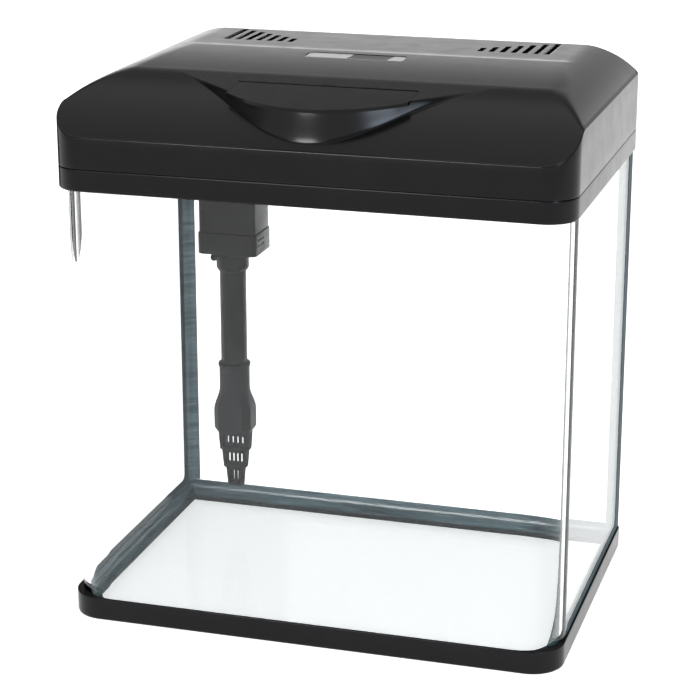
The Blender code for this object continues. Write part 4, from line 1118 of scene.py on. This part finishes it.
@dataclass
class Lid:
    """The lid shell, its badge and its light."""

    builder: Builder
    vents: int = 7
    vent_pitch: float = 8.6 * MM
    vent_width: float = 4.4 * MM
    vent_start: float = 77 * MM
    vent_shortest: float = 16 * MM
    vent_growth: float = 5.6 * MM
    vent_side: float = 63 * MM
    vent_corner: float = 1.2 * MM
    vent_rear: float = 4.4 * MM
    seat_half: float = 66.9 * MM
    seat_rear: float = -67.6 * MM
    seat_lip: float = 6 * MM
    seat_depth: float = 2.7 * MM
    mouth_half: float = 63.5 * MM
    mouth_inset: float = 3.7 * MM
    badge_gap: float = 0.3 * MM
    notch_x: float = 142 * MM
    notch_radius: float = 6 * MM
    ear_x: float = 110 * MM
    ear_near: float = 10 * MM
    ear_far: float = -18.6 * MM
    ear_length: float = 8.6 * MM
    ear_radius: float = 4.9 * MM
    ear_y: float = 127.72 * MM
    ear_z: float = 352.35 * MM
    form: LidForm = field(init=False)

    def __post_init__(self) -> None:
        """Reads the lid's box."""
        low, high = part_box("lid_shell")
        self.form = LidForm(high.x, high.y, low.z, high.z)

    def slot_outline(self, x: float, start: float, end: float) -> Array:
        """A slot in plan: a rectangle with corners of quarter circles.

        Args:
            x: the slot's middle.
            start: its front end.
            end: its rear end.

        Returns:
            The outline.
        """
        r, half = self.vent_corner, self.vent_width / 2
        centres = [np.array([x + sx * (half - r), end - r if sy > 0 else start + r]) for sx, sy in CORNERS]
        return corner_arcs(centres, [r] * 4, 4)

    def vent_cutter(self) -> bpy.types.Mesh:
        """All cooling slots as one cutter.

        Returns:
            A mesh of closed prisms.
        """
        points, faces = [], []
        for side in (-1, 1):
            for number in range(self.vents):
                x = side * (self.form.half_x - self.vent_side - number * self.vent_pitch)
                end = self.vent_start + self.vent_shortest + self.vent_growth * (self.vents - 1 - number)
                end = min(end, self.form.half_y - self.vent_rear)
                outline = self.slot_outline(x, self.vent_start, end)
                count, first = len(outline), len(points) * 2 * len(outline)
                levels = [self.form.top_z + z for z in (-10 * MM, 5 * MM)]
                rings = [np.column_stack([outline, np.full(count, z)]) for z in levels]
                points.append(np.vstack(rings))
                faces += grid_quads(2, count, True, first).tolist()
                faces.append((first + np.arange(count)).tolist())
                faces.append((first + count + np.arange(count)).tolist())
        return mesh_from("vent_cutter", np.vstack(points), faces)

    def plan_line(self, half: float, inset: float, count: int = 60) -> Array:
        """The visor's front edge from right to left, moved back by an inset.

        Args:
            half: half its width.
            inset: how far back it lies.
            count: its parts.

        Returns:
            Plan points.
        """
        x = np.linspace(half, -half, count + 1)
        return np.column_stack([x, self.form.edge_y(x) + inset])

    def visor_plate(self, name: str, outline: Array, above: float, below: float) -> bpy.types.Mesh:
        """A closed plate that lies along the visor's top.

        Args:
            name: the mesh's name.
            outline: its plan.
            above: how far it reaches above the top.
            below: how far it reaches below.

        Returns:
            The closed mesh.
        """
        z = self.form.top_z - self.form.visor_drop(outline[:, 1])
        rings = [np.column_stack([outline, z - below]), np.column_stack([outline, z + above])]
        return loft_mesh(name, np.array(rings))

    def shell(self) -> bpy.types.Mesh:
        """The shell: a fine skin joined to the CAD lid's inner features and cut for what it carries.

        Returns:
            The closed mesh.
        """
        form = self.form
        skin = form.solid("lid_skin", 0.0, 241, (56, 12, 26, 34, 20, 26), 1.1 * MM, 0.8 * MM)
        hollow = form.solid("lid_hollow", 1.4 * MM, 81, (16, 8, 10, 10, 4, 10), 0.5 * MM)
        shift = np.array([v.co[:] for v in hollow.vertices])
        shift[shift[:, 2] < form.low_z + 0.01 * MM, 2] -= 5 * MM
        hollow.vertices.foreach_set("co", shift.ravel())
        inner = form.solid("lid_inner", 0.7 * MM, 121, (24, 8, 14, 14, 6, 14), 0.8 * MM)
        inside = combined(self.builder.merged("lid_shell"), ("INTERSECT", inner))
        half, reach, rear = self.seat_half, self.mouth_half, self.seat_rear
        seat = np.vstack([self.plan_line(half, -self.seat_lip), [[-half, rear], [half, rear]]])
        opening = np.vstack([self.plan_line(reach, self.mouth_inset), [[-reach, rear], [reach, rear]]])
        low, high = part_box("badge_plate")
        badge = self.round_plan((low.x + high.x) / 2, (low.y + high.y) / 2,
                                (high.x - low.x) / 2 + self.badge_gap, (high.y - low.y) / 2 + self.badge_gap)
        notch = np.linspace(0, 2 * np.pi, 33)[:-1]
        return combined(
            skin, ("DIFFERENCE", hollow), ("UNION", inside),
            ("DIFFERENCE", self.visor_plate("flap_seat", seat, 6 * MM, self.seat_depth)),
            ("DIFFERENCE", self.visor_plate("flap_opening", opening, 6 * MM, 20 * MM)),
            ("DIFFERENCE", self.vent_cutter()),
            ("DIFFERENCE", self.deck_plate("badge_seat", badge, 5 * MM, 1.0 * MM)),
            ("DIFFERENCE", self.rear_rod("cable_notch", self.notch_x, self.notch_radius, notch)),
            *[("DIFFERENCE", self.ear_room(f"ear_room_{number}", start))
              for number, start in enumerate(self.ear_starts())],
        )

    def ear_starts(self) -> list[float]:
        """Where the rim's four hinge ears begin along X."""
        return [side * self.ear_x + away for side in (-1, 1) for away in (self.ear_far, self.ear_near)]

    def ear_room(self, name: str, start: float) -> bpy.types.Mesh:
        """A round notch that clears a hinge ear.

        Args:
            name: the mesh's name.
            start: where the ear begins along X.

        Returns:
            The closed mesh.
        """
        turn = np.linspace(0, 2 * np.pi, 33)[:-1]
        ring = np.column_stack([np.zeros(32), self.ear_y + self.ear_radius * np.cos(turn),
                                self.ear_z + self.ear_radius * np.sin(turn)])
        return loft_mesh(name, np.array([ring + [start, 0, 0], ring + [start + self.ear_length, 0, 0]]))

    def rear_rod(self, name: str, x: float, radius: float, turn: Array) -> bpy.types.Mesh:
        """A round cutter through the rear wall.

        Args:
            name: the mesh's name.
            x: its axis's place.
            radius: its radius.
            turn: the angles of its points.

        Returns:
            The closed mesh.
        """
        ring = np.column_stack([x + radius * np.cos(turn), np.zeros(len(turn)),
                                self.form.low_z - 0.3 * MM + radius * np.sin(turn)])
        rear = self.form.half_y
        return loft_mesh(name, np.array([ring + [0, rear - 8 * MM, 0], ring + [0, rear + 8 * MM, 0]]))

    @staticmethod
    def round_plan(x: float, y: float, half_x: float, half_y: float, r: float = 4 * MM) -> Array:
        """A rounded rectangle in plan.

        Args:
            x: its middle.
            y: its middle.
            half_x: half its width.
            half_y: half its depth.
            r: its corner radius.

        Returns:
            Plan points.
        """
        centres = [np.array([x + sx * (half_x - r), y + sy * (half_y - r)]) for sx, sy in CORNERS]
        return corner_arcs(centres, [r] * 4, 8)

    def deck_plate(self, name: str, outline: Array, above: float, below: float) -> bpy.types.Mesh:
        """A closed plate that lies along the deck's slope.

        Args:
            name: the mesh's name.
            outline: its plan.
            above: how far it reaches above the deck.
            below: how far it reaches below.

        Returns:
            The closed mesh.
        """
        z = self.form.top_z - math.tan(self.form.deck_slope) * (self.form.crease_y - outline[:, 1])
        return loft_mesh(name, np.array([np.column_stack([outline, z - below]),
                                         np.column_stack([outline, z + above])]))

    def build(self) -> None:
        """Builds and dresses the lid."""
        make = self.builder
        make.piece("lid_moulding", self.shell(), Body.LID, Slot.BLACK, ("lid_shell",), 30)
        make.refine("badge_plate", Body.LID, Slot.BADGE, 0.25 * MM)
        make.refine("light_housing", Body.LID, Slot.BLACK, 0.3 * MM)
        make.refine("light_board", Body.LID, Slot.BOARD, 0.1 * MM)
        make.refine("light_lens", Body.LID, Slot.LENS, 0.3 * MM)
        for side in ("left", "right"):
            make.refine(f"light_screw_{side}", Body.LID, Slot.STEEL, 0.1 * MM)
        make.refine("feeding_flap", Body.FLAP, Slot.BLACK, 0.45 * MM, segments=3)


# ---------------------------------------------------------------- hood

@dataclass
class Hood:
    """The rim, the hinge pins and the filter tray."""

    builder: Builder
    seam: float = 0.3 * MM

    @staticmethod
    def sponge(rows: int = 40, columns: int = 96) -> bpy.types.Mesh:
        """The sponge: a soft block whose surface is a superellipsoid with open-cell unevenness.

        A point at longitude u and latitude v has each axis as sign(w) |w| ^ 0.12 of the unit sphere's, and
        is drawn in by a sum of sines up to 0.35 mm.

        Args:
            rows: points from pole to pole.
            columns: points around.

        Returns:
            The closed mesh.
        """
        low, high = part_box("filter_sponge")
        half = np.array(high - low) / 2 - 0.05 * MM
        centre = np.array(high + low) / 2
        v, u = np.meshgrid(np.linspace(-np.pi / 2, np.pi / 2, rows)[1:-1],
                           np.linspace(0, 2 * np.pi, columns, endpoint=False), indexing="ij")
        ball = np.stack([np.cos(v) * np.cos(u), np.cos(v) * np.sin(u), np.sin(v)], -1)
        block = np.sign(ball) * np.abs(ball) ** 0.12
        wave = np.sin(block[..., 0] * 41 + 3 * block[..., 2]) * np.sin(block[..., 1] * 17 + 1) * 0.5 + 0.5
        return loft_mesh("sponge", centre + block * (half - 0.35 * MM * wave[..., None]))

    def build(self) -> None:
        """Builds and dresses the hood."""
        make = self.builder
        low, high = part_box("hood_rim")
        skin = Skin(high.x, high.y, low.z, min(high.z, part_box("lid_shell")[0].z - self.seam), 23 * MM, 6 * MM)
        rim = skin.over(make.merged("hood_rim"))
        make.piece("rim_moulding", rim, Body.HOOD, Slot.BLACK, ("hood_rim",), 40)
        make.refine("filter_tray", Body.HOOD, Slot.GREY, 0.4 * MM)
        make.refine("tray_cover", Body.HOOD, Slot.GREY, 0.25 * MM)
        sponge = make.piece("sponge_mat", self.sponge(), Body.HOOD, Slot.SPONGE, ("filter_sponge",), 60)
        for side in ("left", "right"):
            make.refine(f"hinge_pin_{side}", Body.HOOD, Slot.STEEL, 0.15 * MM)


@dataclass
class Strainer:
    """The adapter that slides on the intake tube, and the tapering slotted cage under it."""

    builder: Builder
    tube_radius: float = 11.05 * MM
    sleeve_radius: float = 12.5 * MM
    collar_height: float = 2.6 * MM
    sleeve_length: float = 21 * MM
    flare_length: float = 20 * MM
    chamfer: float = 5.5 * MM
    tiers: tuple[tuple[float, float], ...] = ((13.9, 7.6), (11.0, 6.2), (7.8, 4.8))
    tier_heights: tuple[float, ...] = (19.5, 15.9, 16.0)
    draft: float = 1.3
    wall: float = 1.4
    pitches: tuple[float, ...] = (4.2, 3.5, 3.3)
    slot: float = 1.5
    ribs: int = 24
    rib_height: float = 0.35 * MM
    squareness: float = 6.0
    lip: float = 0.7 * MM
    brim_height: float = 4.5 * MM
    brim_draft: tuple[float, float] = (2.6 * MM, 1.2 * MM)
    mouth: tuple[float, float] = (14.3 * MM, 8.3 * MM)
    throat: float = 8 * MM
    points: int = 96

    def __post_init__(self) -> None:
        """Reads the adapter's and the cage's boxes."""
        self.low, self.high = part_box("strainer_adapter")
        self.cage_low, self.cage_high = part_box("strainer_cage")
        self.x, self.y = (self.low.x + self.high.x) / 2, (self.low.y + self.high.y) / 2

    def facet_ring(self, half_x: float, half_y: float, chamfer: float, z: float, roundness: float) -> Array:
        """A chamfered rectangle blended towards a circle.

        A point at angle t lies at the least of the distances to the sides and to the chamfers; roundness
        mixes that with the sleeve's radius.

        Args:
            half_x: half width.
            half_y: half depth.
            chamfer: the chamfer's run along each side.
            z: height.
            roundness: 0 for the chamfered rectangle, 1 for the circle.

        Returns:
            The ring's points.
        """
        t = self.turn(self.points)
        c, s = np.abs(np.cos(t)), np.abs(np.sin(t))
        corner = (half_x + half_y - chamfer) / (c + s)
        box = np.minimum(np.minimum(half_x / np.maximum(c, 1e-6), half_y / np.maximum(s, 1e-6)), corner)
        return self.ring(box + (self.sleeve_radius - box) * roundness, z)

    @staticmethod
    def turn(count: int) -> Array:
        """Evenly spaced angles round the strainer, half a step from the axes."""
        return 2 * np.pi * (np.arange(count) + 0.5) / count

    def ring(self, radius: Array | float, z: float) -> Array:
        """A ring round the strainer's axis.

        Args:
            radius: one radius, or one for each point.
            z: height.

        Returns:
            The ring's points.
        """
        t = self.turn(self.points)
        level = np.full(self.points, z)
        return np.column_stack([self.x + radius * np.cos(t), self.y + radius * np.sin(t), level])

    def adapter(self) -> bpy.types.Mesh:
        """The adapter: a lipped sleeve, a flare and a faceted box, bored for the tube and the cage.

        Returns:
            The closed mesh.
        """
        low, high = self.low.z, self.high.z
        half_x, half_y = (self.high.x - self.low.x) / 2, (self.high.y - self.low.y) / 2
        shoulder = high - self.sleeve_length
        flare = shoulder - self.flare_length
        brim = low + self.brim_height
        draft_x, draft_y = self.brim_draft
        rings = [self.facet_ring(half_x - draft_x, half_y - draft_y, self.chamfer, low, 0),
                 self.facet_ring(half_x - 0.1 * MM, half_y - 0.2 * MM, self.chamfer, brim, 0),
                 self.facet_ring(half_x, half_y, self.chamfer, flare, 0)]
        for share in np.linspace(0.15, 1.0, 9):
            smooth = share * share * (3 - 2 * share)
            z = flare + (shoulder - flare) * share
            rings.append(self.facet_ring(half_x, half_y, self.chamfer, z, smooth))
        lip = high - self.collar_height
        wide = self.sleeve_radius + self.lip
        rings += [self.ring(self.sleeve_radius, lip - 0.3 * MM), self.ring(wide, lip),
                  self.ring(wide, high - 0.4 * MM), self.ring(wide - 0.4 * MM, high)]
        t = 2 * np.pi * np.arange(64) / 64
        plan = np.column_stack([self.x + self.tube_radius * np.cos(t), self.y + self.tube_radius * np.sin(t)])
        mouth = self.facet_ring(*self.mouth, 2 * MM, 0, 0)[:, :2]
        throat = self.facet_ring(self.throat, self.throat, 2 * MM, 0, 0)[:, :2]
        return combined(loft_mesh("adapter", np.array(rings)),
                        ("DIFFERENCE", prism("bore", plan, shoulder - 2 * MM, high + 5 * MM)),
                        ("DIFFERENCE", prism("mouth", mouth, low - 5 * MM, low + 6 * MM)),
                        ("DIFFERENCE", prism("throat", throat, low + 5 * MM, shoulder)))

    def super_ring(self, half_x: float, half_y: float, z: float, ribs: float = 0.0) -> Array:
        """A ring |x/a|^n + |y/b|^n = 1 with fine upright ribs, n being the squareness.

        Args:
            half_x: a, half the width.
            half_y: b, half the depth.
            z: height.
            ribs: how high the ribs stand.

        Returns:
            The ring's points.
        """
        t = self.turn(self.points * 2)
        c, s = np.cos(t), np.sin(t)
        scale = (np.abs(c) ** self.squareness + np.abs(s) ** self.squareness) ** (-1 / self.squareness)
        rib = 1 - ribs / half_x * (0.5 + 0.5 * np.sign(np.sin(self.ribs * t)))
        return np.column_stack([self.x + half_x * scale * c * rib, self.y + half_y * scale * s * rib,
                                np.full(len(t), z)])

    def cage(self) -> bpy.types.Mesh:
        """The cage: three ribbed tiers round a hollow, with rows of slots from front to back.

        Returns:
            The closed mesh.
        """
        outer, inner, slots = [], [], []
        z = self.cage_high.z
        for (a, b), height, pitch in zip(self.tiers, self.tier_heights, self.pitches):
            low = z - height * MM
            for level, less in ((z, 0.0), (low + 0.1 * MM, self.draft)):
                outer.append(self.super_ring((a - less) * MM, (b - 0.7 * less) * MM, level, self.rib_height))
            for level, less in ((z - 0.2 * MM, 0.0), (low + self.wall * MM, self.draft)):
                shrunk = ((a - less - self.wall) * MM, (b - 0.7 * less - self.wall) * MM)
                inner.append(self.super_ring(*shrunk, level))
            for number in range(-2, 3):
                centre = self.x + number * pitch * MM
                if abs(number * pitch) < a - self.draft - self.wall - 1:
                    half = self.slot * MM / 2
                    plan = np.array([[centre - half, self.y - 0.02], [centre + half, self.y - 0.02],
                                     [centre + half, self.y + 0.02], [centre - half, self.y + 0.02]])
                    top = z - (6.5 if height > 18 else 2.2) * MM
                    slots.append(("DIFFERENCE", prism("slot", plan, low + 2.4 * MM, top)))
            z = low
        inner[0][:, 2] += 5 * MM
        for ring in inner[2::2]:
            ring[:, 2] += self.wall * MM
        room = loft_mesh("room", np.array(inner))
        return combined(loft_mesh("cage", np.array(outer)), ("DIFFERENCE", room), *slots)

    def build(self) -> None:
        """Builds and dresses the strainer."""
        make = self.builder
        make.piece("adapter_moulding", self.adapter(), Body.STRAINER, Slot.GREY, ("strainer_adapter",), 14)
        make.piece("cage_moulding", self.cage(), Body.STRAINER, Slot.GREY, ("strainer_cage",), 25)


@dataclass
class Pump:
    """The pump, its regulator and the intake tube."""

    builder: Builder

    def build(self) -> None:
        """Builds and dresses the pump."""
        make = self.builder
        for node in ("pump_upper_housing", "pump_lower_housing", "pump_cap", "tube_collar", "intake_tube"):
            make.refine(node, Body.HOOD, Slot.BLACK, 0.35 * MM)
        make.refine("outlet_nozzle", Body.HOOD, Slot.GREY, 0.25 * MM)
        make.refine("flow_ring", Body.REGULATOR, Slot.BLACK, 0.25 * MM)
        make.refine("pump_stator", Body.HOOD, Slot.IRON, 0.2 * MM)
        make.refine("rotor_magnet", Body.ROTOR, Slot.MAGNET, 0.2 * MM)
        make.refine("impeller", Body.ROTOR, Slot.GREY, 0.15 * MM)
        make.dress("rotor_shaft", Slot.CERAMIC)
        make.dress("lower_bushing", Slot.RUBBER)
        make.dress("upper_bushing", Slot.RUBBER)


# ---------------------------------------------------------------- stage

@dataclass
class Studio:
    """A pale floor, soft light all round and the camera."""

    place: Vector = field(default_factory=lambda: Vector((0.44606, -1.51653, 0.69009)))
    target: Vector = field(default_factory=lambda: Vector((-0.004985, 0.0, 0.1906)))
    lens: float = 110.84
    floor_glow: float = 0.78
    table_front: float = -0.95
    horizon: tuple[tuple[float, float], ...] = (
        (0.0, 1.5), (0.14, 1.5), (0.23, 0.5), (0.31, 0.27), (0.42, 0.12), (0.6, 0.3), (0.8, 1.0), (1.0, 1.4))
    brightest: float = 1.5
    flank: tuple[float, float, float] = (0.8, 0.96, 0.1)

    def floor(self) -> None:
        """A wide pale sheet that glows softly, a little less far in front of the object."""
        reach = 6.0
        points = np.array([[-reach, -reach, 0], [reach, -reach, 0], [reach, reach, 0], [-reach, reach, 0]])
        mesh = bpy.data.meshes.new("studio_floor")
        mesh.from_pydata(points.tolist(), [], [[0, 1, 2, 3]])
        graph = Graph("studio_sheet")
        graph.fixed(Roughness=0.85, IOR=1.2, Emission_Color=(1, 1, 1, 1))
        place = graph.node("SeparateXYZ")
        graph.wire(graph.coordinates, place.inputs["Vector"])
        for target, front, rear in (("Base Color", 0.88, 0.93), ("Emission Strength", 0.42, self.floor_glow)):
            fade = graph.node("MapRange", interpolation_type="SMOOTHSTEP")
            for key, value in (("From Min", self.table_front), ("From Max", self.table_front + 0.35),
                               ("To Min", front), ("To Max", rear)):
                fade.inputs[key].default_value = value
            graph.wire(place.outputs["Y"], fade.inputs["Value"])
            graph.wire(fade.outputs["Result"], graph.shader.inputs[target])
        mesh.materials.append(graph.material)
        sheet = bpy.data.objects.new("studio_floor", mesh)
        bpy.context.scene.collection.objects.link(sheet)

    def sky(self) -> None:
        """White round the horizon, dimmer above, with a dark flank on each side that outlines the glass."""
        world = bpy.data.worlds.new("studio")
        bpy.context.scene.world = world
        world.use_nodes = True
        tree = world.node_tree
        background = tree.nodes["Background"]
        direction = tree.nodes.new("ShaderNodeTexCoord")
        height = tree.nodes.new("ShaderNodeSeparateXYZ")
        ramp = tree.nodes.new("ShaderNodeValToRGB")
        tree.links.new(direction.outputs["Generated"], height.inputs["Vector"])
        tree.links.new(height.outputs["Z"], ramp.inputs["Fac"])
        tree.links.new(ramp.outputs["Color"], background.inputs["Color"])
        fold = tree.nodes.new("ShaderNodeMath")
        fold.operation = "ABSOLUTE"
        flank = tree.nodes.new("ShaderNodeMapRange")
        flank.interpolation_type = "SMOOTHSTEP"
        for key, value in (("From Min", self.flank[0]), ("From Max", self.flank[1]),
                           ("To Min", self.brightest), ("To Max", self.brightest * self.flank[2])):
            flank.inputs[key].default_value = value
        tree.links.new(height.outputs["X"], fold.inputs[0])
        tree.links.new(fold.outputs[0], flank.inputs["Value"])
        tree.links.new(flank.outputs["Result"], background.inputs["Strength"])
        stops = ramp.color_ramp.elements
        for place, value in self.horizon[1:-1]:
            stops.new(place)
        for stop, (place, value) in zip(stops, self.horizon):
            stop.position = place
            stop.color = (*[value / self.brightest] * 3, 1)

    def softbox(self, name: str, place: Vector, aim: Vector, size: float, power: float,
                colour: tuple[float, float, float] = (1, 1, 1)) -> None:
        """A square soft light.

        Args:
            name: its name.
            place: where it stands.
            aim: what it points at.
            size: its side.
            power: its power in watts.
            colour: its tint.
        """
        data = bpy.data.lights.new(name, "AREA")
        data.size, data.energy, data.color = size, power, colour
        made = bpy.data.objects.new(name, data)
        made.location = place
        made.rotation_euler = (aim - place).to_track_quat("-Z", "Y").to_euler()
        made.visible_diffuse = False
        bpy.context.scene.collection.objects.link(made)

    def flag(self) -> None:
        """A matt black card out of view at the back left, which draws the dark edge of the bent glass."""
        points = np.array([[-1.1, 0.35, 0], [-0.75, 0.9, 0], [-0.75, 0.9, 0.9], [-1.1, 0.35, 0.9]])
        mesh = bpy.data.meshes.new("studio_flag")
        mesh.from_pydata(points.tolist(), [], [[0, 1, 2, 3]])
        graph = Graph("studio_card")
        graph.fixed(Roughness=0.9)
        graph.tint(graph.noise(6.0, 2.0), (0.004, 0.004, 0.005), (0.008, 0.008, 0.009))
        mesh.materials.append(graph.material)
        card = bpy.data.objects.new("studio_flag", mesh)
        card.visible_camera = card.visible_diffuse = False
        bpy.context.scene.collection.objects.link(card)

    def camera(self) -> None:
        """The camera, in front, to the right and a little above."""
        data = bpy.data.cameras.new("camera")
        data.lens = self.lens
        data.sensor_width = 36.0
        data.shift_x, data.shift_y = 0.002, -0.001
        data.clip_end = 50.0
        made = bpy.data.objects.new("camera", data)
        made.location = self.place
        made.rotation_euler = (self.target - self.place).to_track_quat("-Z", "Y").to_euler()
        bpy.context.scene.collection.objects.link(made)
        bpy.context.scene.camera = made

    def build(self) -> None:
        """Sets the stage."""
        self.floor()
        self.sky()
        self.flag()
        lid = Vector((0.0, -0.12, 0.39))
        self.softbox("key_left", Vector((-0.55, -2.0, 0.85)), lid, 0.6, 30.0)
        self.softbox("fill_right", Vector((1.5, -1.45, 0.8)), lid, 0.7, 24.0, (0.72, 0.84, 1.0))
        self.camera()
        bpy.context.scene.view_settings.view_transform = "Standard"


def main() -> None:
    """Builds the sub-assemblies in order."""
    logging.basicConfig(level=logging.INFO, format="%(name)s %(message)s")
    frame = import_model()
    builder = Builder(Finishes(), frame["nodes"])
    for assembly in (Tank(builder), Hood(builder), Pump(builder), Strainer(builder), Lid(builder)):
        assembly.build()
    Studio().build()


if __name__ == "__main__":
    main()
